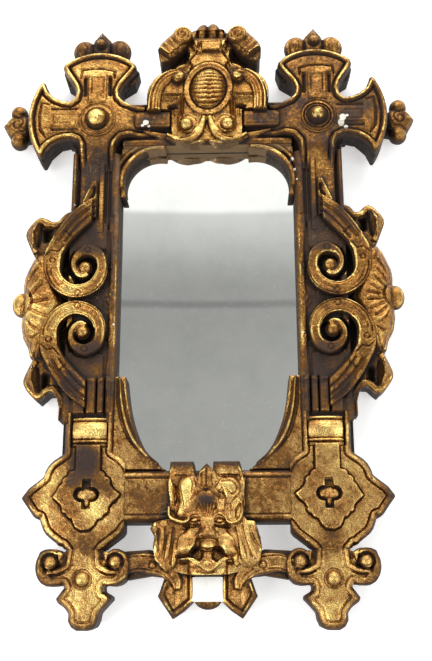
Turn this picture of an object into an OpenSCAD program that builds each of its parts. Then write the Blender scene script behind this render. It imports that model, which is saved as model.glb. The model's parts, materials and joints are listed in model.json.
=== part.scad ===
// Gilded wall mirror: four joined frame members carry glued carvings, a silvered
// glass held by a backboard and turn buttons, and a ring to hang it by.
// Millimetres. +Z is up, the wall is the plane y = 0 and the face looks along -Y.
// The origin is the point on the wall where the nail carries the raised ring.

/* [Frame members] */
// Width of the sight opening
sight_w = 122; // [112:1:150]
// Height of the sight opening
sight_h = 230; // [215:1:270]
// Drop from the hanging point to the top of the sight opening
sight_drop = 33; // [32:1:40]
// Width of each stile
stile_w = 34; // [32:1:40]
// Height of the top rail
rail_top_h = 36; // [34:1:42]
// Height of the bottom rail
rail_bottom_h = 33; // [31:1:38]
// Thickness of the members where the carvings are glued on
seat_t = 18; // [17:0.5:21]
// Height of a moulding's field above that seat
field_t = 5; // [3:0.5:6]
// Height of a moulding's raised rims above the field
rim_t = 3; // [1.5:0.5:4]
// Width of a raised rim
rim_w = 4.5; // [3:0.5:5.5]
// How far the outboard carvings stand off the wall
wall_gap = 5; // [3:0.5:6]
// Length of the rail tenons
tenon_len = 14; // [8:1:18]
// Thickness of the rail tenons
tenon_t = 6; // [4:0.5:7]
// Clearance round each tenon
tenon_clear = 0.1; // [0.05:0.05:0.3]

/* [Glass and back] */
// Width of the rebate behind the sight edge
rebate_w = 6; // [5:0.5:8]
// Clearance round the glass in its rebate
glass_clear = 1; // [0.5:0.25:1.5]
// Thickness of the silvered glass
glass_t = 2.2; // [2:0.1:3]
// Thickness of the backboard
board_t = 3.3; // [3:0.1:4]
// Depth of the pocket that the backboard's buttons turn in
pocket_t = 7; // [6.5:0.25:8]
// Length of a turn button
button_len = 16; // [14:0.5:17]
// Width of a turn button
button_w = 8; // [7:0.5:10]
// Thickness of a turn button
button_t = 1.6; // [1.2:0.1:2]
// Radius of the screw shanks
screw_r = 1.2; // [1:0.1:1.5]
// Radius of the screw heads
screw_head_r = 2.6; // [2.2:0.1:3]
// Height of the screw heads
screw_head_t = 1.2; // [1:0.1:1.6]
// Distance of the upper buttons below the sight opening's top
button_down = 45; // [35:1:60]
// Distance of the lower buttons above its bottom
button_up = 50; // [35:1:60]
// Radial clearance of the buttons and the ring on their pivots
pivot_clear = 0.08; // [0.04:0.02:0.1]

/* [Hanger] */
// Inner radius of the hanging ring
ring_r = 6; // [5.5:0.25:7]
// Radius of the ring's wire
ring_wire_r = 1; // [0.8:0.1:1.2]
// Width of the hanger plate
hanger_w = 11; // [10:0.5:13]
// Length of the hanger plate
hanger_len = 15; // [14:0.5:17]
// Thickness of the hanger plate
hanger_t = 1.2; // [1:0.1:1.5]
// Lean of the raised ring towards the frame, in degrees
ring_lean = 4; // [2:0.5:5]

/* [Corner crosses] */
// Height of the crosses' centres above the top of the sight opening
cross_up = 20; // [18:0.5:22]
// Thickness of the crosses' plates above the wall
cross_t = 27; // [25:0.5:30]
// Reach of the upper arm from the centre
arm_top = 55; // [52:0.5:60]
// Half width of the upper arm's head
arm_top_half = 28; // [26:0.5:30]
// Reach of the outer arm from the centre
arm_out = 50.5; // [49:0.5:55]
// Half height of the outer arm's head
arm_out_half = 30; // [28:0.5:32]
// Height of the outer head's middle above the centre
head_out_up = 2; // [0:0.5:3]
// Reach of the inner arm from the centre
arm_in = 22; // [21:0.5:24]
// Half width of the arms at their necks
neck_half = 13; // [12:0.5:15]
// Radius of the ring round the boss
boss_ring_r = 14; // [13:0.5:16]
// Radius of the domed boss
boss_r = 6.5; // [5.5:0.5:7.5]
// Height of the upper finial above the arm
finial_top_h = 24.5; // [22:0.5:27]
// Reach of the outer finial beyond the arm
finial_out_h = 18.5; // [16:0.5:21]
// Thickness of the finials above the wall
finial_t = 18; // [15:0.5:20]

/* [Crest] */
// Height of the crest's oval above the top rail
crest_up = 6.5; // [5:0.5:9]
// Thickness of the crest's plate above the wall
crest_t = 29; // [27:0.5:31]
// Half width of the oval cabochon
oval_half_w = 12; // [11:0.5:13]
// Half height of the oval cabochon
oval_half_h = 16; // [15:0.5:17]
// Width of the ring round the cabochon
oval_ring_w = 4.5; // [4:0.5:5]
// Height of the cabochon above the plate
cabochon_t = 7; // [5:0.5:8]
// Height of the rolled ears above the plate
ear_t = 5; // [4:0.5:6]

/* [Side scrolls] */
// Height of the scroll bands above the stile's seat
scroll_t = 11; // [9:0.5:12]
// Width of a scroll band at its tail
scroll_w = 13; // [11:0.5:13]
// Radius of the balls in the scrolls' eyes
eye_r = 4.5; // [4:0.5:5]
// Thickness of the outer straps above the wall
strap_t = 24; // [21:0.5:26]
// How far the right strap stands higher than the left one, halved
side_skew = 2.5; // [0:0.5:3]
// Radius of the outermost ball
side_ball_r = 6; // [5:0.5:7]

/* [Lower corners] */
// Radius of the corner plates
corner_r = 32; // [30:0.5:34]
// Reach of the corner plate's point from the stile's axis
corner_point = 40; // [38:0.5:43]
// Height of the raised plaque above the corner plate's field
plaque_t = 3; // [2:0.5:4]
// Height of the collars on the stiles
collar_h = 21; // [18:1:24]
// Drop from the corner plate's centre to the foot's boss
foot_drop = 51; // [49:0.5:54]
// Thickness of the feet above the wall
foot_t = 24; // [22:0.5:26]
// Radius of the foot's boss
foot_boss_r = 5; // [4:0.5:6]

/* [Mask and pendants] */
// Thickness of the mask's plate above the wall
mask_t = 25; // [23:0.5:27]
// Thickness of the lower straps above the wall
pendant_t = 21; // [19:0.5:23]
// Width of the paper label
label_w = 20.5; // [18:0.5:22]
// Height of the paper label
label_h = 14; // [12:0.5:15]
// Thickness of the paper label
label_t = 0.4; // [0.3:0.1:0.6]

/* [Hidden] */
$fn = 48;
sight_top = -sight_drop;
sight_bottom = sight_top - sight_h;
sight_mid = (sight_top + sight_bottom) / 2;
half_w = sight_w / 2;
stile_x = half_w + stile_w / 2;
stile_out = half_w + stile_w;
rail_top_z = sight_top + rail_top_h;
rail_bottom_z = sight_bottom - rail_bottom_h;
corner_z = sight_bottom - rail_bottom_h / 2;
stile_bottom = rail_bottom_z - 4;
cross_z = sight_top + cross_up;
rail_end = stile_x - arm_in;
field_y = seat_t + field_t;
rim_y = field_y + rim_t;
sight_y = field_y + 1;
rebate_t = pocket_t + board_t + glass_t;
board_back = pocket_t + 0.1;
glass_back = rebate_t - glass_t;
ledge_x = half_w + rebate_w;
// the buttons swing clear of the board and of the pocket's walls
button_x = ledge_x + button_w / 2 + 0.5;
ledge_w = button_len + 2;
pocket_x = ledge_x + ledge_w;
pocket_top = sight_top + rebate_w + ledge_w;
pocket_bottom = sight_bottom - rebate_w - ledge_w;
crest_z = rail_top_z + crest_up;
collar_top = corner_z + corner_r + collar_h;
foot_z = corner_z - foot_drop;
waist_z = corner_z - corner_r;
button_back = pocket_t - 0.1 - button_t;
button_places = [[button_x, sight_top - button_down], [button_x, sight_bottom + button_up]];
pivot_z = -2 * ring_r - ring_wire_r;
pivot_y = pocket_t - hanger_t - 0.05 - ring_wire_r;

// Helpers

// A flat outline in X and Z, from one height above the wall to another
module relief(back, front) {
  translate([0, -back, 0]) rotate([90, 0, 0]) linear_extrude(front - back) children();
}

// The part on the left is the one on the right seen in a mirror
module side(s) {
  if (s < 0) mirror([1, 0, 0]) children();
  else children();
}

module both() {
  children();
  mirror([1, 0, 0]) children();
}

// The same pair in a flat drawing, side by side or one above the other
module both2() {
  children();
  mirror([1, 0]) children();
}

module updown() {
  children();
  mirror([0, 1]) children();
}

module box2(x0, x1, z0, z1) {
  translate([x0, z0]) square([x1 - x0, z1 - z0]);
}

module disc(x, z, r) {
  translate([x, z]) circle(r);
}

module dome(x, z, base, r) {
  translate([x, -base, z]) intersection() {
    sphere(r);
    translate([-r, -r, -r]) cube([2 * r, r, 2 * r]);
  }
}

// A point on the smooth curve through b and c
function between(a, b, c, d, t) =
  0.5 * (2 * b + (c - a) * t + (2 * a - 5 * b + 4 * c - d) * t * t + (3 * b - a - 3 * c + d) * t * t * t);

// The smooth curve through all the points of p, with n steps between each two
function smooth(p, n) = concat(
  [for (i = [0 : len(p) - 2], k = [0 : n - 1])
    between(p[max(i - 1, 0)], p[i], p[i + 1], p[min(i + 2, len(p) - 1)], k / n)],
  [p[len(p) - 1]]
);

function left_of(v) = [-v[1], v[0]] / norm(v);

// The outline of a band along the points [x, z, width] of p
function band_edge(p, s) = [for (i = [0 : len(p) - 1])
  let (a = p[max(i - 1, 0)], b = p[min(i + 1, len(p) - 1)],
       n = left_of([b[0] - a[0], b[1] - a[1]]))
  [p[i][0], p[i][1]] + s * p[i][2] / 2 * n];

module band(p, n = 5) {
  q = smooth(p, n);
  right = band_edge(q, -1);
  polygon(concat(band_edge(q, 1), [for (i = [len(right) - 1 : -1 : 0]) right[i]]));
}

// Frame members

// What the members fill behind their seats, which the carvings fit round
module members_outline() {
  both() box2(half_w, stile_out, stile_bottom, rail_top_z);
  box2(-half_w, half_w, sight_top, rail_top_z);
  box2(-half_w, half_w, rail_bottom_z, sight_bottom);
}

// A carving that is glued on the members' seats and is deeper outside them
module overlay(front) {
  relief(seat_t, front) children();
  relief(wall_gap, seat_t) difference() {
    children();
    members_outline();
  }
}

// The pocket in the back for board and buttons, and the rebate for the glass
module back_pocket() {
  translate([-pocket_x, -pocket_t, pocket_bottom])
    cube([2 * pocket_x, pocket_t + 1, pocket_top - pocket_bottom]);
  translate([-ledge_x, -rebate_t, sight_bottom - rebate_w])
    cube([2 * ledge_x, rebate_t, sight_h + 2 * rebate_w]);
}

module tenon(z0, z1, clear) {
  mid = (rebate_t + seat_t) / 2 - 2;
  for (s = [-1, 1])
    translate([s * (half_w + tenon_len / 2), -mid, (z0 + z1) / 2])
      cube([tenon_len + (clear > 0 ? 1 : 0), tenon_t + 2 * clear, z1 - z0 + 2 * clear], center = true);
}

module rail_top_tenon(clear = 0) tenon(sight_top + rebate_w + 4, rail_top_z - 6, clear);

module rail_bottom_tenon(clear = 0) tenon(rail_bottom_z + 5, sight_bottom - rebate_w - 4, clear);

module stile(s) {
  color("peru") side(s) difference() {
    union() {
      relief(0, seat_t) box2(half_w, stile_out, stile_bottom, rail_top_z);
      // sight edge and inner rim, from the collar to the upper spandrel
      relief(seat_t, sight_y) box2(half_w, half_w + rim_w, collar_top, cross_z - 30);
      relief(seat_t, rim_y) box2(half_w + rim_w + 1, half_w + 2 * rim_w + 2, collar_top, cross_z - 30);
      // field and outer rim between the cross and the side scrolls
      relief(seat_t, field_y) box2(half_w + 2 * rim_w + 3.5, stile_out - rim_w - 1.5, sight_mid + 66, cross_z - 30);
      relief(seat_t, rim_y) box2(stile_out - rim_w, stile_out, sight_mid + 70, cross_z - 30);
      // fluted block between the side scrolls and the collar
      relief(seat_t, field_y) box2(half_w + 2 * rim_w + 3.5, stile_out, collar_top, sight_mid - 68);
      relief(wall_gap, field_y) box2(stile_out, stile_out + 3.5, collar_top - 1, collar_top + 9);
      for (i = [0 : 2])
        relief(field_y, field_y + 2) box2(half_w + 14 + 7 * i, half_w + 17.5 + 7 * i, collar_top, sight_mid - 72);
    }
    back_pocket();
    rail_top_tenon(tenon_clear);
    rail_bottom_tenon(tenon_clear);
    button_pilots();
    // beds for the side scrolls
    translate([stile_x, 0, sight_mid]) relief(seat_t, rim_y + 5) scroll_clearance();
  }
}

module rail_top() {
  color("saddlebrown") difference() {
    union() {
      relief(0, seat_t) box2(-half_w, half_w, sight_top, rail_top_z);
      rail_top_tenon();
      relief(seat_t, sight_y) box2(-half_w + 26, half_w - 26, sight_top, sight_top + 2);
      // moulding and square strap on each side of the crest
      both() {
        relief(seat_t, field_y) box2(26, rail_end, sight_top + 5, sight_top + 11);
        relief(seat_t, rim_y) box2(26, rail_end - 2, sight_top + 12, sight_top + 25);
        relief(seat_t, seat_t + 4) box2(34, rail_end, sight_top + 26, rail_top_z);
      }
    }
    back_pocket();
    hanger_notch();
    hanger_pilots();
  }
}

module rail_bottom() {
  color("saddlebrown") difference() {
    union() {
      relief(0, seat_t) box2(-half_w, half_w, rail_bottom_z, sight_bottom);
      rail_bottom_tenon();
      both() {
        relief(seat_t, field_y) box2(26, half_w - 7, corner_z - 8.5, corner_z + 8.5);
        relief(seat_t, rim_y) box2(26, half_w - 7, corner_z + 10, sight_bottom - 1.5);
        relief(seat_t, rim_y) box2(26, half_w - 7, rail_bottom_z, corner_z - 10);
      }
    }
    back_pocket();
  }
}

// Curved fillings of the sight opening's corners

module spandrel_top(s) {
  r = 25;
  color("sienna") side(s) {
    relief(rebate_t, sight_y) difference() {
      union() {
        box2(half_w - r, half_w, sight_top - r, sight_top);
        box2(half_w - 4, half_w, sight_top - r - 13, sight_top - r);
      }
      disc(half_w - r - 2, sight_top - r - 2, r);
      box2(half_w - r - 30, half_w - r - 1.9, sight_top - r - 30, sight_top - 2);
    }
  }
}

// The curved sight edge over the lower corner, drawn in by g
module spandrel_outline(g) {
  edge = smooth([[half_w - 7, 62], [half_w - 9.5, 43], [half_w - 14, 27], [half_w - 21, 13], [half_w - 33, 1]], 4);
  intersection() {
    polygon(concat([[half_w, 0], [half_w, 62]], [for (p = edge) [p[0] + g, p[1] - g * 0.6]]));
    box2(0, half_w, 0, 62);
  }
}

module spandrel_bottom(s) {
  color("sienna") side(s) translate([0, 0, sight_bottom]) {
    relief(rebate_t, sight_y) spandrel_outline(0);
    relief(sight_y, rim_y) spandrel_outline(4);
  }
}

// Corner crosses, drawn about their own centres with the outer arm along +X

// Arcs that end the two heads, each with the rise of its arc
top_rise = 11;
out_rise = 9;
top_r = (arm_top_half * arm_top_half + top_rise * top_rise) / (2 * top_rise);
out_r = (arm_out_half * arm_out_half + out_rise * out_rise) / (2 * out_rise);

// The wide back of the upper head
module head_top() {
  k = arm_top_half;
  intersection() {
    both2() polygon([[0, 18], [neck_half, 20], [neck_half + 3, 29], [k - 3, 35], [k, arm_top - top_rise],
      [k, arm_top], [0, arm_top]]);
    disc(0, arm_top - top_r, top_r);
  }
}

// The narrower bell on its front, drawn in by g
module bell_top(g = 0) {
  k = arm_top_half;
  intersection() {
    both2() polygon([[0, 20 + g], [neck_half - 1 - g, 20 + g], [neck_half - g, 30], [neck_half + 4 - g, 37],
      [k - 8 - g, 44], [k - 6 - g, arm_top], [0, arm_top]]);
    disc(0, arm_top - top_r, top_r - g);
  }
}

module head_out() {
  k = arm_out_half;
  intersection() {
    translate([0, head_out_up]) updown() polygon([[18, 0], [20, neck_half], [29, neck_half + 2], [36, k - 8],
      [arm_out - out_rise - 2, k], [arm_out - 4, k], [arm_out, 0]]);
    disc(arm_out - out_r, head_out_up, out_r);
  }
}

module bell_out(g = 0) {
  k = arm_out_half;
  intersection() {
    translate([0, head_out_up]) updown() polygon([[20 + g, 0], [20 + g, neck_half - 1 - g], [28, neck_half - g],
      [34, neck_half + 4 - g], [arm_out - out_rise - 1, k - 6 - g], [arm_out, k - 6 - g], [arm_out, 0]]);
    disc(arm_out - out_r, head_out_up, out_r - g);
  }
}

// The moulded bands along the ends of the heads
module head_bands() {
  difference() {
    head_top();
    disc(0, arm_top - top_r, top_r - rim_w - 1);
  }
  difference() {
    head_out();
    disc(arm_out - out_r, head_out_up, out_r - rim_w - 1);
  }
}

module cross_body() {
  difference() {
    union() {
      box2(-neck_half, neck_half, -30, 22);
      box2(-arm_in, 22, -neck_half, neck_half);
      box2(-19, 19, -19, 19);
    }
    for (a = [-1, 1], b = [-1, 1]) disc(a * 25, b * 25, 10.5);
  }
}

module cross_outline() {
  head_top();
  head_out();
  cross_body();
}

module at_cross(s) {
  side(s) translate([stile_x, 0, cross_z]) children();
}

module cross(s) {
  color("goldenrod") at_cross(s) {
    translate([-stile_x, 0, -cross_z]) {
      overlay(cross_t - 8) translate([stile_x, cross_z]) cross_outline();
      relief(cross_t - 8, cross_t) translate([stile_x, cross_z]) {
        cross_body();
        bell_top();
        bell_out();
        head_bands();
      }
    }
    relief(cross_t, cross_t + rim_t) {
      head_bands();
      difference() {
        bell_top();
        bell_top(3.5);
        box2(-60, 60, -60, 27);
      }
      difference() {
        bell_out();
        bell_out(3.5);
        box2(-60, 27, -60, 60);
      }
      // small raised tablets in the necks
      box2(-6, 6, 26, 38);
      box2(26, 38, -6, 6);
    }
  }
}

module cross_boss(s) {
  color("gold") at_cross(s) translate([0, -cross_t, 0]) rotate([90, 0, 0]) {
    rotate_extrude() polygon([[boss_r + 2, 0], [boss_ring_r, 0], [boss_ring_r - 0.5, 2.5], [boss_ring_r - 2, 3],
      [boss_ring_r - 3.5, 1.5], [boss_r + 2, 1.5]]);
    cylinder(h = 1.5, r = boss_r + 2);
    translate([0, 0, 1.5]) intersection() {
      sphere(boss_r);
      cylinder(h = boss_r, r = boss_r);
    }
  }
}

module finial_top(s) {
  base = arm_top - 10;
  lobe = finial_top_h * 0.43;
  color("khaki") at_cross(s) {
    relief(wall_gap, finial_t) difference() {
      union() {
        disc(-lobe + 0.5, arm_top, lobe);
        disc(lobe - 0.5, arm_top, lobe);
        intersection() {
          disc(-4, arm_top + finial_top_h - 11, 11.5);
          disc(4, arm_top + finial_top_h - 11, 11.5);
        }
        box2(-8, 8, base, arm_top + 8);
      }
      head_top();
    }
    dome(0, arm_top + 9, finial_t, 3.5);
  }
}

module finial_side(s) {
  color("khaki") at_cross(s) {
    relief(wall_gap, finial_t) difference() {
      translate([0, head_out_up]) {
        updown() polygon([[arm_out - 6, 0], [arm_out - 6, 8], [arm_out + 8, 10], [arm_out + finial_out_h, 2],
          [arm_out + finial_out_h, 0]]);
        disc(arm_out + 8.5, 9, 4.5);
        disc(arm_out + 8.5, -9, 4.5);
        disc(arm_out + finial_out_h - 5, 0, 5);
      }
      head_out();
    }
    dome(arm_out + 8.5, head_out_up, finial_t, 3.5);
  }
}

// Crest over the middle of the top rail

module oval(w, h) {
  // two arcs of one radius meet top and bottom, so the oval is exact
  r = (w * w + h * h) / (2 * w);
  intersection() {
    disc(w - r, 0, r);
    disc(r - w, 0, r);
    box2(-w, w, -h * 0.93, h * 0.93);
  }
}

module crest_outline() {
  both() polygon([[0, sight_top + 2], [22, sight_top + 2], [25, sight_top + 6], [25, rail_top_z - 9], [33, rail_top_z - 9],
    [33, rail_top_z + 16], [22, rail_top_z + 26], [15, rail_top_z + 29], [14, rail_top_z + 36], [17, rail_top_z + 41],
    [11, rail_top_z + 50], [10, rail_top_z + 56], [0, rail_top_z + 56]]);
}

module crest_plate() {
  color("darkgoldenrod") {
    overlay(crest_t) crest_outline();
    // ring round the cabochon, and the boxed panel under the shell
    relief(crest_t, crest_t + rim_t) {
      translate([0, crest_z]) difference() {
        oval(oval_half_w + oval_ring_w, oval_half_h + oval_ring_w);
        oval(oval_half_w, oval_half_h);
      }
      polygon([[-8, rail_top_z + 40], [8, rail_top_z + 40], [11, rail_top_z + 50], [-11, rail_top_z + 50]]);
    }
  }
}

module crest_cabochon() {
  ribs = 8;
  step = 2 * oval_half_h * 0.9 / ribs;
  color("gold") translate([0, 0, crest_z]) {
    relief(crest_t, crest_t + cabochon_t - 2) oval(oval_half_w - 0.1, oval_half_h - 0.1);
    // reeds across the oval
    for (i = [0 : ribs - 1])
      relief(crest_t + cabochon_t - 2, crest_t + cabochon_t) intersection() {
        oval(oval_half_w - 1.5, oval_half_h - 1.5);
        box2(-oval_half_w, oval_half_w, -oval_half_h * 0.9 + i * step, -oval_half_h * 0.9 + (i + 0.7) * step);
      }
  }
}

module crest_shell() {
  color("wheat") relief(wall_gap, crest_t - 2) difference() {
    for (a = [-9, -3, 3, 9]) disc(a, rail_top_z + 57 + (abs(a) < 5 ? 2 : 0), 3.9);
    crest_outline();
    both() translate([0, rail_top_z]) ear_outline();
  }
}

module ear_outline() {
  disc(18.5, 48, 8);
  band(ear_path(), 4);
}

function ear_path() = [[18.5, 49, 12], [24, 47.5, 12], [29, 42.5, 11], [32.5, 36, 9], [32, 30, 6]];

module crest_ear(s) {
  color("orange") side(s) translate([0, 0, rail_top_z]) {
    relief(wall_gap, crest_t + ear_t) difference() {
      ear_outline();
      translate([0, -rail_top_z]) crest_outline();
    }
    dome(19, 48.5, crest_t + ear_t, 4);
  }
}

module crest_scroll(s) {
  color("orange") side(s) translate([0, 0, rail_top_z]) {
    relief(wall_gap, crest_t + 2) difference() {
      band([[39, 0, 10], [38, 9, 11], [34, 16, 11], [27.5, 20, 10], [21, 19.5, 8]], 5);
      translate([0, -rail_top_z]) crest_outline();
      box2(20, 60, -20, 0);
    }
    relief(crest_t, crest_t + 2) {
      disc(20, 17, 5);
      box2(22, 30, -7, 6);
    }
    dome(20, 17, crest_t + 2, 4);
  }
}

module crest_volutes() {
  color("gold") both() translate([0, 0, sight_top]) {
    relief(crest_t, crest_t + 3) {
      disc(13, 13, 8);
      polygon([[0.1, 5], [5, 2.5], [22, 2.5], [20, 7], [5, 9], [0.1, 12]]);
    }
    dome(14, 13, crest_t + 3, 5);
  }
}

// Carving on each side of the sight opening, drawn about its middle

function scroll_path() = [
  [2, 66, scroll_w - 2], [13, 56, scroll_w], [23, 43, scroll_w], [28, 29, scroll_w - 1], [26, 16, 11],
  [17, 7.5, 9.5], [6, 5.5, 9], [-4, 9, 8.5], [-9.5, 18, 8], [-9, 28, 7],
  [-3, 34, 6], [5, 34, 5.5], [10, 29, 5], [9.5, 23, 4.5]
];

module scroll(s, up) {
  color(up > 0 ? "gold" : "goldenrod") side(s) translate([stile_x, 0, sight_mid]) mirror([0, 0, up > 0 ? 0 : 1]) {
    relief(seat_t + 0.1, seat_t + scroll_t) band(scroll_path(), 5);
    // the ball in the eye, with the stem that it is carved on
    relief(seat_t + 0.1, seat_t + scroll_t - 4) disc(3, 24, eye_r - 0.5);
    dome(3, 24, seat_t + scroll_t - 4, eye_r);
  }
}

module side_panel_outline() {
  // edge beyond the stile: bracket, fan and bracket
  updown() polygon(concat(
    [[stile_w / 2 - 1, 0], [stile_w / 2 - 1, 64], [28, 59.5], [34.5, 65], [45, 52.5], [38, 35]],
    smooth([[38, 34], [43, 32], [47, 21], [48, 8]], 3),
    [[48, 0]]
  ));
}

module side_strap(s) {
  color("darkkhaki") side(s) translate([stile_x, 0, sight_mid + s * side_skew]) {
    // ground behind the scrolls, with the two brackets
    relief(wall_gap, seat_t) difference() {
      side_panel_outline();
      box2(-40, stile_w / 2, -100, 100);
      fan_outline();
    }
    for (t = [-1, 1]) relief(seat_t, strap_t) difference() {
      polygon([[22, t * 61], [28, t * 59.5], [34.5, t * 65], [45, t * 52.5], [38, t * 35], [34.5, t * 42], [30, t * 50]]);
      polygon([[31, t * 55], [35, t * 58.5], [39, t * 51.5], [36, t * 45]]);
      translate([0, -s * side_skew]) scroll_clearance();
    }
  }
}

module fan_outline() {
  updown() {
    polygon(concat([[33, 0], [33, 20]], smooth([[38, 29], [43, 27], [47, 17], [48, 6]], 3), [[48, 0]]));
    polygon([[27, 0], [34, 24], [34, 0]]);
  }
}

module side_shell(s) {
  color("khaki") side(s) translate([stile_x, 0, sight_mid + s * side_skew]) {
    relief(wall_gap, seat_t) fan_outline();
    relief(seat_t, strap_t - 2) difference() {
      fan_outline();
      translate([0, -s * side_skew]) scroll_clearance();
    }
    // flutes that spread from the fan's root
    for (i = [-2 : 2])
      relief(strap_t - 2, strap_t + 1) difference() {
        intersection() {
          fan_outline();
          translate([20, 0]) rotate(i * 17) box2(14, 29, -1.8, 1.8);
        }
        translate([0, -s * side_skew]) scroll_clearance();
        disc(49, 0, side_ball_r + 0.5);
      }
    translate([49, -strap_t + side_ball_r - 3, 0]) difference() {
      sphere(side_ball_r);
      translate([-20.9, -side_ball_r - 1, -20]) cube([20, 2 * side_ball_r + 2, 40]);
    }
  }
}

// The room that the scroll bands take, with a little air
module scroll_clearance() {
  grown = [for (p = scroll_path()) [p[0], p[1], p[2] + 0.6]];
  band(grown, 5);
  mirror([0, 1]) band(grown, 5);
}

// Lower corners

module collar(s) {
  low = collar_top - collar_h;
  color("gold") side(s) {
    relief(seat_t, field_y + 1) box2(half_w + 6, stile_out - 4, low, collar_top);
    for (z = [low + 0.5, low + 4, collar_top - 3.5])
      translate([half_w + 6, -field_y - 1, z + 1.4]) rotate([0, 90, 0]) difference() {
        cylinder(h = stile_w - 10, r = 1.4);
        translate([-5, 0, -1]) cube([10, 5, stile_w]);
      }
  }
}

module corner_outline(g = 0) {
  disc(0, 0, corner_r - 2 - g);
  disc(0, -2, corner_r - 2 - g);
  polygon([[10, 26 - g], [22, 20 - g], [corner_point - 9, 12 - g], [corner_point - g * 1.4, 0],
    [corner_point - 9, -12 + g], [22, -20 + g], [10, -26 + g]]);
  // small steps beside the point
  box2(26, corner_point - 9 - g, -13 + g, 13 - g);
  box2(-stile_w / 2 + 3 + g, stile_w / 2 - 3 - g, 0, corner_r);
}

module corner_plate(s) {
  color("goldenrod") side(s) difference() {
    union() {
      overlay(field_y) translate([stile_x, corner_z]) difference() {
        corner_outline();
        box2(-50, -stile_w / 2 - 7, -rail_bottom_h / 2, rail_bottom_h / 2);
        box2(-60, -stile_w / 2, rail_bottom_h / 2, 60);
      }
      relief(field_y, rim_y) translate([stile_x, corner_z]) difference() {
        corner_outline();
        corner_outline(rim_w);
        box2(-60, -stile_w / 2 - 7, -rail_bottom_h / 2, rail_bottom_h / 2);
        box2(-60, -stile_w / 2, rail_bottom_h / 2, 60);
        box2(-12, 12, -60, -20);
        box2(-12, 12, 20, 60);
      }
    }
    foot_tongue(0.1);
  }
}

module plaque(s) {
  color("gold") side(s) translate([stile_x, 0, corner_z]) relief(field_y, field_y + plaque_t) difference() {
    union() {
      polygon([[-21.5, 0], [-12, 9], [0, 16], [12, 9], [21.5, 0], [12, -9], [0, -16], [-12, -9]]);
      box2(-12, 12, -12, 16);
      box2(-8, 8, 0, corner_r);
      disc(0, -13, 8);
    }
    box2(-3, 3, -9.5, 9.5);
    disc(-4, 0, 4);
    disc(4, 0, 4);
  }
}

module foot_tongue(clear) {
  translate([stile_x, -(wall_gap + 3 + 3), waist_z + 3])
    cube([12 + 2 * clear, 6 + 2 * clear, 10 + 2 * clear], center = true);
}

module foot_outline(g = 0) {
  both2() {
    polygon([[0, 22], [8.5 - g, 22], [8 - g, 16], [11, 6], [13 - g, -5], [11.5 - g, -6], [16.5 - g * 1.4, -11],
      [10 - g, -18], [9 - g, -22], [9 - g, -26], [5, -30.5 + g], [0, -30.5 + g]]);
    // the volute that curls up beside the boss
    difference() {
      disc(19.5, 7, 10.5 - g);
      disc(17, 12, 6 + g / 2);
      polygon([[15, 9], [7, 24], [22, 26], [19, 14]]);
    }
    disc(21, 11.5, 4 - g / 4);
    polygon([[6, 5], [18, -3.5 + g], [20, 4 - g], [10, 9 - g]]);
  }
}

module foot(s) {
  color("darkgoldenrod") side(s) {
    difference() {
      relief(wall_gap, foot_t) translate([stile_x, foot_z]) difference() {
        foot_outline();
        translate([0, foot_drop]) corner_outline();
      }
      translate([stile_x - 60, -rim_y - 20, waist_z]) cube([120, rim_y + 30, 60]);
    }
    relief(foot_t, foot_t + rim_t) translate([stile_x, foot_z]) difference() {
      foot_outline();
      foot_outline(3);
      box2(-7, 7, -25, 40);
      box2(-60, 60, foot_drop - corner_r, 60);
    }
    intersection() {
      foot_tongue(0);
      translate([0, -100, waist_z - 5]) cube([200, 200, 20]);
    }
  }
}

module foot_bosses() {
  color("gold") both() dome(stile_x, foot_z, foot_t, foot_boss_r);
}

// Grotesque mask on the bottom rail, with the straps and pendants under it

module mask_outline() {
  both() polygon([[0, 12], [23, 12], [24, -5], [22, -12], [33, -25], [34, -32], [33, -39], [26, -47], [20, -47],
    [12, -48.5], [0, -48.5]]);
}

module mask() {
  top = sight_bottom - 4;
  color("gold") {
    overlay(mask_t) difference() {
      translate([0, corner_z]) mask_outline();
      box2(-60, 60, sight_bottom + 0.01, 100);
    }
    translate([0, 0, corner_z]) {
      // brows, nose, cheeks, lips and chin, each a rounded boss on the plate
      relief(mask_t, mask_t + 4) both() {
        disc(14, -28, 8);
        polygon([[1, -14], [13, -9], [22, -14], [14, -18], [3, -17]]);
      }
      both() dome(14, -28, mask_t + 4, 6);
      both() dome(8, -13, mask_t, 3.5);
      relief(mask_t, mask_t + 5) {
        polygon([[-3, -8], [3, -8], [5, -19], [0, -21], [-5, -19]]);
        polygon([[-8, -38], [8, -38], [3, -46], [-3, -46]]);
      }
      dome(0, -30, mask_t, 5);
      // folds that hang beside the cheeks
      both() for (i = [0 : 2])
        relief(mask_t, mask_t + 2.5) polygon([[17 + 4 * i, -16 - 3 * i], [20 + 4 * i, -15 - 3 * i], [25 + 3.2 * i, -44 + 4 * i], [21 + 3.2 * i, -45 + 4 * i]]);
    }
  }
}

module mask_crown() {
  color("khaki") translate([0, 0, corner_z]) {
    relief(mask_t, mask_t + 6) intersection() {
      disc(-8, 9, 16);
      disc(8, 9, 16);
      box2(-10, 10, -2, 30);
    }
    relief(mask_t, mask_t + 5) both() {
      disc(15, 3, 6);
      disc(17, -4, 4.5);
    }
    // the two square tabs that stand over the sight edge
    both() relief(rebate_t, mask_t) box2(6.5, 22.5, sight_bottom - corner_z, sight_bottom - corner_z + 6);
  }
}

module lower_strap(s) {
  color("goldenrod") side(s) relief(wall_gap, pendant_t) translate([0, foot_z]) difference() {
    union() {
      polygon([[stile_x - 24, 17], [36, 18], [28, 15.5], [18, 11], [10, 10], [9.5, 2], [9.5, -12.5], [13, -15.5],
        [22, -23.5], [31, -10.5], [27, 1], [36, 2], [stile_x - 24, -1]]);
    }
    polygon([[11.5, 8], [18, 9], [13.5, 1.5]]);
    translate([0, -foot_z]) mask_room();
    translate([stile_x, 0]) foot_outline();
  }
}

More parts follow.
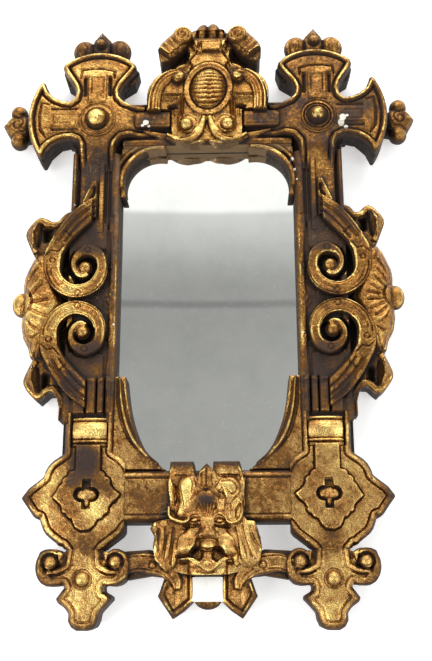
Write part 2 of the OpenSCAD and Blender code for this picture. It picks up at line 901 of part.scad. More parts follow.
// The mask's plate under the straps, with a little air
module mask_room() {
  translate([0, corner_z]) mask_outline();
}

module pendant() {
  color("khaki") relief(wall_gap, pendant_t) difference() {
    translate([0, foot_z]) {
      disc(0, -9.5, 8.5);
      box2(-9.5, 9.5, -10, 10);
    }
    translate([0, corner_z]) mask_outline();
  }
}

module label() {
  color("white") relief(pendant_t, pendant_t + label_t) translate([0, foot_z - 5])
    square([label_w, label_h], center = true);
}

// Glass, backboard and what holds them

module glass() {
  c = glass_clear;
  color("lightblue", 0.6) relief(glass_back, rebate_t)
    box2(-ledge_x + c, ledge_x - c, sight_bottom - rebate_w + c, sight_top + rebate_w - c);
}

module backboard() {
  c = glass_clear;
  color("tan") relief(board_back, glass_back)
    box2(-ledge_x + c, ledge_x - c, sight_bottom - rebate_w + c, sight_top + rebate_w - c);
}

module button_pilots() {
  for (p = button_places)
    translate([p[0], -pocket_t - 5, p[1]]) rotate([-90, 0, 0]) cylinder(h = 6, r = screw_r);
}

module button(s, i) {
  p = button_places[i];
  color("gold") side(s) translate([p[0], -button_back, p[1]]) rotate([90, 0, 0]) difference() {
    union() {
      translate([button_w - button_len, -button_w / 2, 0]) cube([button_len - button_w, button_w, button_t]);
      cylinder(h = button_t, r = button_w / 2);
      translate([button_w - button_len, 0, 0]) cylinder(h = button_t, r = button_w / 2);
    }
    translate([0, 0, -1]) cylinder(h = button_t + 2, r = screw_r + pivot_clear);
  }
}

module button_screws() {
  color("silver") both() for (p = button_places)
    translate([p[0], 0, p[1]]) rotate([90, 0, 0]) {
      translate([0, 0, button_back - 0.1 - screw_head_t]) cylinder(h = screw_head_t, r = screw_head_r);
      translate([0, 0, button_back - 0.1]) cylinder(h = pocket_t + 5 - button_back + 0.1, r = screw_r);
    }
}

// Hanging ring on its plate, behind the top rail

module hanger_notch() {
  translate([-ring_r - 5, -pocket_t, pocket_top - 1])
    cube([2 * ring_r + 10, pocket_t + 1, rail_top_z - pocket_top + 2]);
}

hanger_holes = [pivot_z - 5.5, pivot_z - 10.5];

module hanger_pilots() {
  for (z = hanger_holes)
    translate([0, -pocket_t - 4, z]) rotate([-90, 0, 0]) cylinder(h = 5, r = screw_r);
}

module hanger_plate() {
  eye_in = ring_wire_r + pivot_clear;
  eye_out = eye_in + hanger_t - 0.15;
  color("darkgray") difference() {
    union() {
      relief(pocket_t - hanger_t, pocket_t) box2(-hanger_w / 2, hanger_w / 2, pivot_z - hanger_len + 2, pivot_z);
      // the eye that the plate's strap is rolled into
      translate([-2.5, -pivot_y, pivot_z]) rotate([0, 90, 0]) cylinder(h = 5, r = eye_out);
      relief(pivot_y, pocket_t) box2(-2.5, 2.5, pivot_z - eye_out, pivot_z);
    }
    translate([-10, -pivot_y, pivot_z]) rotate([0, 90, 0]) cylinder(h = 20, r = eye_in);
    for (z = hanger_holes)
      translate([0, -pocket_t - 1, z]) rotate([-90, 0, 0]) cylinder(h = hanger_t + 2, r = screw_r);
  }
}

module hanger_ring() {
  out = ring_r + ring_wire_r;
  color("gold") translate([0, -pivot_y, pivot_z]) rotate([ring_lean, 0, 0]) {
    // the straight bar that turns in the eye
    translate([-out * 0.6, 0, 0]) rotate([0, 90, 0]) cylinder(h = out * 1.2, r = ring_wire_r);
    translate([0, 0, out]) rotate([90, 0, 0]) difference() {
      rotate_extrude() translate([out, 0]) circle(ring_wire_r, $fn = 24);
      translate([-out * 0.6, -out - 3, -3]) cube([out * 1.2, 5, 6]);
    }
  }
}

module hanger_screws() {
  color("silver") for (z = hanger_holes)
    translate([0, 0, z]) rotate([90, 0, 0]) {
      translate([0, 0, pocket_t - hanger_t - 0.8]) cylinder(h = 0.8, r = screw_head_r - 0.6);
      translate([0, 0, pocket_t - hanger_t]) cylinder(h = hanger_t + 4, r = screw_r);
    }
}

stile(-1);  // stile_left
stile(1);  // stile_right
rail_top();
rail_bottom();
spandrel_top(-1);  // spandrel_top_left
spandrel_top(1);  // spandrel_top_right
spandrel_bottom(-1);  // spandrel_bottom_left
spandrel_bottom(1);  // spandrel_bottom_right
cross(-1);  // cross_left
cross(1);  // cross_right
cross_boss(-1);  // cross_boss_left
cross_boss(1);  // cross_boss_right
finial_top(-1);  // finial_top_left
finial_top(1);  // finial_top_right
finial_side(-1);  // finial_side_left
finial_side(1);  // finial_side_right
crest_plate();
crest_cabochon();
crest_shell();
crest_ear(-1);  // crest_ear_left
crest_ear(1);  // crest_ear_right
crest_scroll(-1);  // crest_scroll_left
crest_scroll(1);  // crest_scroll_right
crest_volutes();
scroll(-1, 1);  // scroll_upper_left
scroll(1, 1);  // scroll_upper_right
scroll(-1, -1);  // scroll_lower_left
scroll(1, -1);  // scroll_lower_right
side_shell(-1);  // side_shell_left
side_shell(1);  // side_shell_right
side_strap(-1);  // side_strap_left
side_strap(1);  // side_strap_right
collar(-1);  // collar_left
collar(1);  // collar_right
corner_plate(-1);  // corner_plate_left
corner_plate(1);  // corner_plate_right
plaque(-1);  // plaque_left
plaque(1);  // plaque_right
foot(-1);  // foot_left
foot(1);  // foot_right
foot_bosses();
mask();
mask_crown();
lower_strap(-1);  // lower_strap_left
lower_strap(1);  // lower_strap_right
pendant();
label();
glass();
backboard();
button(-1, 0);  // button_upper_left
button(1, 0);  // button_upper_right
button(-1, 1);  // button_lower_left
button(1, 1);  // button_lower_right
button_screws();
hanger_plate();
hanger_ring();
hanger_screws();
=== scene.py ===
import json
import math

import bpy
import numpy as np
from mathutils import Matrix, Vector


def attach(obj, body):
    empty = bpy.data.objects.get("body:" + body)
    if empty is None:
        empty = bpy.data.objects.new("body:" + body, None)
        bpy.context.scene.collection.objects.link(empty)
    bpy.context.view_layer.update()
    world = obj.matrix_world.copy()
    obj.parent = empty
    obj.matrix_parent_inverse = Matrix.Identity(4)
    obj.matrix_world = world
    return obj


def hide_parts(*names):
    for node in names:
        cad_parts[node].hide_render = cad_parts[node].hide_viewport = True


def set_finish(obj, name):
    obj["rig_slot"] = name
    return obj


# Gilded wall mirror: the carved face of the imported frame, and its finishes.
# Outlines and heights are in millimetres: x to the right, z up, and h the height above the wall.
# MM turns them into Blender's metres.

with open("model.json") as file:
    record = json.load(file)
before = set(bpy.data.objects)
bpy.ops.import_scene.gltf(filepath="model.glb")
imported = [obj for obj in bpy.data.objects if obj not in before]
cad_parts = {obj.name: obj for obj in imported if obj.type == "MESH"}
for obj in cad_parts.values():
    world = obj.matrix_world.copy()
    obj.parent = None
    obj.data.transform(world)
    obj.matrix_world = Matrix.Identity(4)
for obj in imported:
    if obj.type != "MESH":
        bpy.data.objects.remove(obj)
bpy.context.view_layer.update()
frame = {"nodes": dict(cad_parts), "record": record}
MM = 0.001

# How finely the pieces are made: welding, spun and round faces, and the sharpest edge
# that is shaded smooth
WELD = 0.01
SPIN_STEPS = 40
BALL_FACES = (28, 16)
CREASE = 50
# A point belongs to a piece's face when its normal turns this far towards the front
FRONTWARD = -0.35

# Heights above the wall of the faces that the carvings share
SEAT = 18
CROSS = 27
CREST = 29
FOOT = 24
CORNER_FIELD = 23
MASK = 25
STRAP = 21

# Places that the carvings are drawn about
CROSS_AT = (78, -13)
SCROLL_AT = (78, -148)
CORNER_AT = (78, -279.5)
FOOT_AT = (78, -330.5)
SIGHT_HALF = 61
SIGHT_TOP = -33
SIGHT_BOTTOM = -263
# How far the crest leans for each mm above this height
LEAN = 0.045
LEAN_FOOT = -4

# Insets as (inward, up) that round the front edge of a piece of stock
SOFT_EDGE = ((0.6, 0.6), (0.9, 0.3))
# Rims as heights below a plate's top, by the distance from its outline
CROSS_RIM = ((0, 0.6, 1.4, 2.4, 3.2, 3.8, 4.2, 4.7, 5.3, 6.5),
    (-2.8, -1.1, -0.2, 0, -0.4, -1.2, -3, -3, -1.6, -1.3))
PLATE_RIM = ((0, 0.8, 1.8, 2.8, 3.6, 4.2, 4.6, 5, 5.6), (-3.6, -2, -0.8, -0.2, 0, -0.3, -1.9, -1.9, -0.8))


# Tools: each one adds a piece of stock or works on it, as by hand

def clear():
    if bpy.context.object and bpy.context.object.mode != "OBJECT":
        bpy.ops.object.mode_set(mode="OBJECT")
    bpy.ops.object.select_all(action="DESELECT")


def take(piece):
    clear()
    piece.select_set(True)
    bpy.context.view_layer.objects.active = piece


def edit(piece):
    take(piece)
    bpy.ops.object.mode_set(mode="EDIT")
    bpy.ops.mesh.select_all(action="SELECT")


def done():
    bpy.ops.object.mode_set(mode="OBJECT")
    return bpy.context.object


def rest(piece):
    """Puts a piece's place, turn and size into its mesh."""
    take(piece)
    bpy.ops.object.transform_apply(location=True, rotation=True, scale=True)
    return piece


def outward(piece):
    edit(piece)
    bpy.ops.mesh.remove_doubles(threshold=WELD * MM)
    bpy.ops.mesh.normals_make_consistent(inside=False)
    return done()


def ring(corners, filled=True):
    """A closed ring of corners, each (x, height above the wall, z) in mm, open or filled with one face."""
    clear()
    bpy.ops.mesh.primitive_circle_add(vertices=len(corners), fill_type="NGON" if filled else "NOTHING")
    piece = bpy.context.object
    for point, (x, h, z) in zip(piece.data.vertices, corners):
        point.co = (x * MM, -h * MM, z * MM)
    piece.data.update()
    return piece


def slab(points, back, front, steps=SOFT_EDGE):
    """Stock sawn to an outline of (x, z) points, its front edge shaped by insets."""
    piece = ring([(x, back, z) for x, z in points])
    away = piece.data.polygons[0].normal.y > 0
    edit(piece)
    if away:
        bpy.ops.mesh.flip_normals()
    rise = sum(up for _, up in steps)
    bpy.ops.mesh.extrude_region_move(TRANSFORM_OT_translate={"value": (0, -(front - rise - back) * MM, 0)})
    for inward, up in steps:
        bpy.ops.mesh.inset(thickness=inward * MM, depth=up * MM, use_even_offset=False)
    done()
    return outward(piece)


def planed(corners, along):
    """Stock of one section drawn out along a line, given in mm."""
    piece = ring(corners)
    edit(piece)
    bpy.ops.mesh.extrude_region_move(TRANSFORM_OT_translate={"value": [c * MM for c in along]})
    done()
    return outward(piece)


def ball(x, z, h, r, rise=None, tall=None, turn=0):
    """A ball or egg whose middle is h above the wall."""
    clear()
    bpy.ops.mesh.primitive_uv_sphere_add(segments=BALL_FACES[0], ring_count=BALL_FACES[1], radius=MM,
        location=(x * MM, -h * MM, z * MM), rotation=(0, math.radians(turn), 0))
    piece = bpy.context.object
    piece.scale = (r, rise or r, tall or r)
    return rest(piece)


def turned(x, z, profile):
    """Spun about the line through (x, z) square to the wall, from a profile of (radius, height) points."""
    piece = ring([(x + r, h, z) for r, h in profile], filled=False)
    edit(piece)
    bpy.ops.mesh.spin(steps=SPIN_STEPS, angle=math.tau, center=(x * MM, 0, z * MM), axis=(0, 1, 0))
    done()
    return outward(piece)


def held(x):
    """Keeps numbers between 0 and 1."""
    return np.clip(x, 0, 1)


def eased(share):
    """A share from 0 to 1 that starts and ends softly."""
    return share * share * (3 - 2 * share)


def smooth(points, n=4):
    """The smooth curve through all the points, with n steps between each two."""
    p = np.array(points, float)
    out = []
    for i in range(len(p) - 1):
        a, b, c, d = p[max(i - 1, 0)], p[i], p[i + 1], p[min(i + 2, len(p) - 1)]
        for t in np.arange(n) / n:
            out.append(0.5 * (2 * b + (c - a) * t + (2 * a - 5 * b + 4 * c - d) * t * t
                + (3 * b - a - 3 * c + d) * t ** 3))
    return out + [p[-1]]


def arc(x, z, r, start, end, n=10):
    turns = [math.radians(start + (end - start) * i / n) for i in range(n + 1)]
    return [(x + r * math.cos(t), z + r * math.sin(t)) for t in turns]


def winding(x, z, radii, turns, n):
    """A line that winds in from one radius and direction, in degrees, to another."""
    steps = zip(np.linspace(*radii, n), np.radians(np.linspace(*turns, n)))
    return [(x + r * math.cos(t), z + r * math.sin(t)) for r, t in steps]


def leftward(points, n):
    """Points along the smooth curve, and the way to its left at each of them."""
    q = np.array(smooth(points, n))
    run = np.gradient(q[:, :2], axis=0)
    run /= np.linalg.norm(run, axis=1)[:, None]
    return q, np.stack([-run[:, 1], run[:, 0]], 1)


def band_outline(points, n=4):
    """The outline of a band whose points hold x, z and width."""
    q, way = leftward(points, n)
    half = way * q[:, 2:3] / 2
    left, right = q[:, :2] + half, q[:, :2] - half
    return [tuple(p) for p in left] + [tuple(p) for p in right[::-1]]


def line_beside(points, off, start, end, n=5):
    """A line that keeps off mm to the left of a band's middle, from one share of it to another."""
    q, way = leftward(points, n)
    line = q[:, :2] + way * off
    return [tuple(p) for p in line[int(start * len(q)):int(end * len(q))]]


def moved(points, at=(0, 0), flip_z=1):
    return [(at[0] + p[0], at[1] + flip_z * p[1], *p[2:]) for p in points]


def about(centre, up=1):
    """A way to set points out about a centre, upside down where up is -1."""
    return lambda points: moved(points, centre, up)


def sided(s, points):
    """Points drawn for the right, on the side that s gives: 1 for the right, -1 for the left."""
    return [(s * p[0], *p[1:]) for p in points]


def side(s):
    return "right" if s > 0 else "left"


def cad_copy(node):
    """A welded copy of a CAD node to carve from."""
    source = frame["nodes"][node]
    piece = source.copy()
    piece.data = source.data.copy()
    piece.parent = None
    for key in [k for k in piece.keys() if k.startswith("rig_")]:
        del piece[key]
    bpy.context.scene.collection.objects.link(piece)
    piece.hide_render = piece.hide_viewport = False
    piece.data.materials.clear()
    return outward(piece)


def sawn_off(piece, at, away):
    """Takes off what lies beyond a plane through at, on the side that away points to."""
    edit(piece)
    bpy.ops.mesh.bisect(plane_co=[c * MM for c in at], plane_no=away, use_fill=True, clear_outer=True)
    return done()


def sawn(piece, h):
    """The part of a piece behind the plane h above the wall."""
    return outward(sawn_off(piece, (0, -h, 0), (0, -1, 0)))


def named(piece, name):
    piece.name = piece.data.name = name
    return piece


def joined(name, parts):
    clear()
    for part in parts:
        part.select_set(True)
    bpy.context.view_layer.objects.active = parts[0]
    if len(parts) > 1:
        bpy.ops.object.join()
    piece = bpy.context.object
    return named(piece, name)


def mirrored(piece, name):
    """The same piece for the other half, with its own mesh."""
    other = piece.copy()
    other.data = piece.data.copy()
    bpy.context.scene.collection.objects.link(named(other, name))
    take(other)
    other.scale = (-1, 1, 1)
    rest(other)
    edit(other)
    bpy.ops.mesh.normals_make_consistent(inside=False)
    return done()


def mirrored_over(piece):
    """The piece turned over to the other half, in place of itself."""
    other = mirrored(piece, piece.name + "_turned")
    bpy.data.objects.remove(piece)
    return other


def framed(co, low, high):
    """Which of the points lie within an upright box, from its low to its high corner."""
    return (co[:, 0] > low[0]) & (co[:, 0] < high[0]) & (co[:, 2] > low[1]) & (co[:, 2] < high[1])


def inside(x, z, outline):
    """Which of the points lie within a closed outline."""
    within = np.zeros(len(x), bool)
    for (ax, az), (bx, bz) in zip(outline, outline[1:] + outline[:1]):
        crosses = (az > z) != (bz > z)
        within ^= crosses & (x < ax + (bx - ax) * (z - az) / (bz - az if bz != az else 1))
    return within


def shaped(piece, outline, top, profile):
    """Planes the face down to a profile of heights below top, by the distance from the outline."""
    reach, rise = profile
    co = spots(piece)
    near = -co[:, 1] > top + min(rise) - 0.2
    gap = distance(co[near, 0], co[near, 2], outline + outline[:1])
    co[near, 1] = np.maximum(co[near, 1], -top - np.interp(gap, reach, rise))
    set_spots(piece, co)
    return piece


def raised(piece, outline, h, soft=0.5, dome=0, back=14, tilt=(0, 0, 0, 0)):
    """Brings the face within an outline to height h, with soft edges.

    dome lifts its middle more, and tilt holds x, z and the rise per mm along each of them.
    """
    outline = [(p[0], p[1]) for p in outline]
    co = spots(piece)
    low, high = np.min(outline, 0) - soft, np.max(outline, 0) + soft
    near = framed(co, low, high)
    near &= (facing(piece)[:, 1] < FRONTWARD) & (-co[:, 1] > back)
    x, z = co[near, 0], co[near, 2]
    gap = distance(x, z, outline + outline[:1])
    gap = np.where(inside(x, z, outline), gap, -gap)
    share = held(gap / (2 * soft) + 0.5)
    share = eased(share)
    level = (h + dome * (1 - np.exp(-np.maximum(gap, 0) / 3)) + tilt[2] * (x - tilt[0])
        + tilt[3] * (z - tilt[1]))
    co[near, 1] = co[near, 1] * (1 - share) - level * share
    set_spots(piece, co)
    return piece


def box(x0, x1, z0, z1):
    return [(x0, z0), (x1, z0), (x1, z1), (x0, z1)]


def egg(x, z, across, along, n=40):
    turns = np.linspace(0, math.tau, n + 1)[:-1]
    return [(x + across * math.cos(t), z + along * math.sin(t)) for t in turns]


def leaned(piece):
    """The crest leans a little to the right as it rises."""
    co = spots(piece)
    co[:, 0] += LEAN * np.maximum(co[:, 2] - LEAN_FOOT, 0)
    set_spots(piece, co)
    return piece


def run_down(piece, axis, start, end, fall):
    """Lets the front sink along x (axis 0) or z (axis 2) from start to end, by fall mm."""
    co = spots(piece)
    share = held((co[:, axis] - start) / (end - start))
    near = -co[:, 1] > SEAT + 3
    co[near, 1] += fall * eased(share)[near]
    set_spots(piece, co)
    return piece


def label_piece():
    """A small blank paper label with rounded corners that lifts a little at its foot."""
    foot, top, r = -344, -329.2, 2.2
    corners = []
    for x, z, start in ((8.6, foot + r, -90), (8.2, top - r, 0), (-8, top - r, 90), (-8.4, foot + r, 180)):
        corners += arc(x, z, r, start, start + 90, 5)
    sheet = slab(corners, STRAP + 0.2, STRAP + 0.7, ((0.1, 0.05),))
    edit(sheet)
    for level in (-332, -335, -338, -341):
        bpy.ops.mesh.select_all(action="SELECT")
        bpy.ops.mesh.bisect(plane_co=(0, 0, level * MM), plane_no=(0, 0, 1))
    done()
    co = spots(sheet)
    co[:, 1] -= 0.9 * held((-338 - co[:, 2]) / 6) ** 2
    set_spots(sheet, co)
    return named(sheet, "label_sheet")


def plaque_outline():
    """The plaque about the corner's middle: a scalloped lozenge and the neck that it hangs by."""
    right = [(6.6, 33), (6.6, 16.4), (8, 16.2), (10, 15.8), (11.2, 14.2), (11.4, 12.6), (13.4, 12),
        (14.8, 10.4), (14.6, 8.4), (16.6, 6.4), (18.6, 2.6), (20.8, -0.4), (18, -3), (15.4, -5.4),
        (14.4, -7.4), (14.4, -9.2), (13.2, -10.6), (11.6, -10.8), (10.9, -12.6), (9.2, -14), (7.8, -14),
        (7, -16.6), (5.4, -19.6), (1.6, -21.6)]
    left = [(-3.6, -21), (-6.6, -18.2), (-8.4, -14.6), (-9.6, -14.4), (-11.4, -13.6), (-12.6, -11.4),
        (-14, -11), (-15.4, -9.6), (-15.2, -7.4), (-17, -4.6), (-19.8, -2.4), (-22.6, 1), (-19.2, 3.6),
        (-16.6, 6.4), (-15.8, 8.6), (-16, 10.4), (-14.6, 12), (-12.8, 12.4), (-12.4, 14.4), (-11, 15.8),
        (-9.4, 16.2), (-9.2, 33)]
    return right + left


def modelled(piece, centre, base, mounds, crisp=5):
    """Gives the face one relief of soft mounds about a centre, over a height base.

    Each mound holds x, z, its half widths across and along, its turn in degrees and its rise.
    """
    co = spots(piece)
    near = (facing(piece)[:, 1] < FRONTWARD) & (-co[:, 1] > base - 1.6)
    x, z = co[near, 0] - centre[0], co[near, 2] - centre[1]
    total = np.zeros(len(x))
    for px, pz, across, along, turn, rise in mounds:
        c, s = math.cos(math.radians(turn)), math.sin(math.radians(turn))
        u, v = ((x - px) * c + (z - pz) * s) / across, ((z - pz) * c - (x - px) * s) / along
        total += (rise * np.sqrt(held(1 - u * u - v * v))) ** crisp
    co[near, 1] = -base - total ** (1 / crisp)
    set_spots(piece, co)
    return piece


def carved(name, parts, grain=0.55, soften=2, strokes=(), centre=(0, 0)):
    """Parts fused into one softly rounded carving, then cut and raised by strokes."""
    piece = joined(name, parts)
    fuse = piece.modifiers.new("fuse", "REMESH")
    fuse.mode = "VOXEL"
    fuse.voxel_size = grain * MM
    soft = piece.modifiers.new("soften", "SMOOTH")
    soft.factor = 0.5
    soft.iterations = soften
    take(piece)
    for change in [m.name for m in piece.modifiers]:
        bpy.ops.object.modifier_apply(modifier=change)
    if strokes:
        cut(piece, strokes, centre)
    return piece


def spots(piece):
    co = np.empty(len(piece.data.vertices) * 3, np.float32)
    piece.data.vertices.foreach_get("co", co)
    return co.reshape(-1, 3) / MM


def set_spots(piece, co):
    piece.data.vertices.foreach_set("co", (co * MM).astype(np.float32).ravel())
    piece.data.update()


def facing(piece):
    no = np.empty(len(piece.data.vertices) * 3, np.float32)
    piece.data.vertices.foreach_get("normal", no)
    return no.reshape(-1, 3)


def distance(x, z, path):
    """Distance of the points to a line of [x, z] points."""
    near = np.full(len(x), 1e9, np.float32)
    for (ax, az), (bx, bz) in zip(path[:-1], path[1:]):
        dx, dz = bx - ax, bz - az
        along = held(((x - ax) * dx + (z - az) * dz) / max(dx * dx + dz * dz, 1e-9))
        near = np.minimum(near, np.hypot(x - ax - along * dx, z - az - along * dz))
    return near


def cut(piece, strokes, centre=(0, 0), up=1):
    """Carver's strokes on the face, each (path, width, depth). A depth below nought raises a ridge."""
    co = spots(piece)
    front = held(-facing(piece)[:, 1] * 1.6 - 0.3)
    for path, width, depth in strokes:
        path = [p[:2] for p in moved(path, centre, up)]
        if len(path) == 1:
            path = path * 2
        low, high = np.min(path, 0) - 3 * width, np.max(path, 0) + 3 * width
        near = framed(co, low, high)
        near &= front > 0
        if near.any():
            d = distance(co[near, 0], co[near, 2], path)
            co[near, 1] += depth * front[near] * np.exp(-(d / width) ** 2)
    set_spots(piece, co)


made = []


def place(piece, slot, *nodes):
    """The finished piece stands for these CAD nodes and rides on the frame."""
    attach(piece, "frame")
    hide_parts(*nodes)
    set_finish(piece, slot)
    made.append(piece)
    return piece


# Corner crosses, about their own middles with the outer arm along +x

def cross_front():
    """The outline of the cross's front, its stem and inner arm drawn longer than they are."""
    head = [(-26.8, 42.6)] + arc(0, 13.86, 41.14, 129.4, 50.6, 12) + [(26.8, 42.6)]
    upper = [(24.6, 38), (20.8, 32), (17.8, 27), (16.6, 22.5), (17.6, 18), (20.8, 15.2), (26, 16),
        (31.6, 18.6), (36.2, 22.8), (38.2, 27.4), (39, 30.4), (40.8, 31.4)]
    outer = arc(-4, 2, 54.5, 30.4, -30.4, 10)
    lower = [(40.6, -27.6), (38.6, -26.6), (37.2, -22.6), (33.8, -18.8), (29, -15.8), (23.5, -14.4),
        (18.5, -14), (14.6, -16), (12.8, -20)]
    stem = [(12.5, -25), (12.5, -62), (-12.5, -62), (-12.5, -25), (-13.2, -19), (-17, -14.2), (-24, -12.6)]
    inner = [(-62, -12.6), (-62, 12.6), (-24, 12.6), (-18.6, 14.8), (-15.4, 18.4), (-14.8, 23), (-16.8, 28),
        (-20.6, 33), (-24.6, 38.2)]
    return head + upper + outer + lower + stem + inner


def cross_piece():
    u, v = CROSS_AT
    outline = moved(cross_front(), CROSS_AT)
    top = CROSS + 2.6
    front = sawn_off(slab(outline, SEAT - 1, top, ()), (u - 33, 0, 0), (-1, 0, 0))
    front = sawn_off(front, (0, 0, v - 38), (0, 0, -1))
    piece = carved("cross_right", [sawn(cad_copy("cross_right"), CROSS - 8.5), front], 0.48, 1)
    shaped(piece, outline, top, CROSS_RIM)
    here = about(CROSS_AT)
    # tablets in the bell over the neck, and across the outer arm's end
    bell = [(-10.4, 38.2), (-3.4, 40), (4, 40.3), (12, 39.2), (12.2, 36), (7.4, 35), (7.4, 14), (-5.4, 14),
        (-5.4, 34.8), (-10, 35)]
    raised(piece, here(bell), top - 0.3, 0.4)
    raised(piece,
        here([(36.2, 12), (40, 13.2), (41, 4), (40.4, -6.4), (37, -11.6), (33.6, -9.8), (33.4, -4.4),
            (14, -4.4), (14, 6.6), (33.6, 6.6), (33.8, 10)]), top - 0.4, 0.4)
    strokes = [([(-8.2, 20), (-8, 33.6)], 1, 2.4), ([(10, 20), (10, 33.6)], 1, 2.4),
        ([(-11, 33.6), (-11.4, 39.4), (-3.6, 41.4), (4, 41.7), (13, 40.4), (13.4, 34)], 0.55, 1.3),
        ([(-3.2, 21), (-3.2, 33.6), (5.2, 33.6), (5.2, 21)], 0.45, 0.8),
        ([(15.4, 9.2), (32.6, 9.2)], 0.8, 1.7), ([(15.4, -7.2), (32.6, -7.2)], 0.8, 1.7),
        ([(35.4, 13.4), (41.4, 14.8), (42.6, 4), (41.8, -7.4), (37.4, -13.4)], 0.55, 1.3),
        ([(20, 4.4), (32, 4.4), (32, -2.4), (20, -2.4)], 0.45, 0.7)]
    cut(piece, strokes, CROSS_AT)
    # the stem and the inner arm run down into the stile and the rail
    run_down(piece, 2, v - 20, v - 37, 6.6)
    run_down(piece, 0, u - 20, u - 32, 5)
    return piece


def boss_piece(s):
    """The turned boss: a full knob on the left, a smaller one inside more rings on the right."""
    u, v = CROSS_AT
    h = CROSS
    profile = [(0, h - 2), (13.6, h - 2), (13.6, h + 1.4), (13.3, h + 2), (12.9, h + 2), (12.5, h + 1),
        (12.1, h + 0.9), (11.7, h + 1.7)]
    if s > 0:
        profile += [(11, h + 2.2), (10.2, h + 2.2), (9.8, h + 1.3), (9.4, h + 1.3), (8.8, h + 2.3),
            (8.2, h + 2.4), (7.6, h + 1.6), (7.1, h + 1.6), (6.6, h + 3.4), (5.6, h + 5.4), (4, h + 6.8),
            (2, h + 7.8), (0, h + 8.1)]
    else:
        profile += [(10.6, h + 2.1), (9.4, h + 2.3), (8.6, h + 2), (8.2, h + 1), (7.9, h + 0.9),
            (7.6, h + 2.4), (7, h + 4.4), (5.9, h + 6.2), (4.2, h + 7.4), (2.2, h + 8), (0, h + 8.2)]
    return named(turned(s * (u + 0.6), v + 0.2, profile), "cross_boss_" + side(s))


def finial_top_piece():
    """Three lobes behind the cross's head: a pointed bud with a bead on it, between two round ones."""
    x, z = CROSS_AT
    parts = [sawn(cad_copy("finial_top_right"), 12)]
    bud = [(1.2, 81), (-2.6, 77), (-5.2, 74), (-6.8, 70), (-6.6, 58), (7.4, 58), (8, 70), (6.6, 74.4),
        (4.4, 77)]
    parts += [slab(moved(bud, CROSS_AT), 5, 19, ((1.6, 2.4), (1.8, 1.4), (1.6, 0.6))),
        ball(x - 12.4, z + 65.4, 12, 8.4, 8.2, 9, turn=24),
        ball(x + 14, z + 65.2, 12, 8.4, 8.2, 9, turn=-24), ball(x + 1, z + 68, 19.4, 3.6, 3.8, 3.6)]
    strokes = [([(1.1, 80), (1, 73.4)], 0.5, -0.9),
        (smooth([(-5.6, 60), (-5.8, 69), (-1.8, 74.6)], 3), 0.7, 1.2),
        (smooth([(7.4, 60), (7.4, 69), (3.8, 74.6)], 3), 0.7, 1.2),
        (smooth([(-17, 60), (-17.6, 67), (-12.4, 71.6)], 3), 0.7, 1),
        (smooth([(18.6, 60), (19, 67), (13.8, 71.6)], 3), 0.7, 1), (arc(1, 68, 4.6, 0, 360, 14), 0.6, 0.9),
        (smooth([(-10.6, 60), (-9.8, 66), (-12.8, 70)], 3), 0.6, 0.8),
        (smooth([(12.4, 60), (11.4, 66), (14.4, 69.8)], 3), 0.6, 0.8)]
    return carved("finial_top_right", parts, 0.5, 2, strokes, CROSS_AT)


def finial_side_piece():
    """The same flower beside the outer arm, with a curled eye at its middle."""
    x, z = CROSS_AT[0], CROSS_AT[1] + 1.4
    bud = [(72, 3), (68.6, 8.4), (65, 12), (56, 12), (56, -8), (64, -8.4), (68, -4)]
    parts = [sawn(cad_copy("finial_side_right"), 11),
        slab(moved(bud, (x, z)), 5, 16.4, ((1.6, 2.4), (1.8, 1.4), (1.6, 0.6))),
        ball(x + 61, z + 13.4, 10, 6.2, 7.2, 6.4, turn=20),
        ball(x + 60, z - 8.6, 10, 6.2, 7.2, 6.2, turn=-20), ball(x + 58, z + 2, 12, 8, 6.4, 8.6)]
    curl = winding(61, 3, (5.6, 1.4), (40, 560), 22)
    strokes = [(curl, 0.6, 1.1), ([(71, 3), (67.4, 3)], 0.5, -0.8),
        (smooth([(56, 9), (61, 8.6), (65, 10.4)], 3), 0.6, 1),
        (smooth([(56, -3.4), (61, -3.2), (65, -5.4)], 3), 0.6, 1)]
    return carved("finial_side_right", parts, 0.46, 2, strokes, (x, z))


# Crest over the top rail

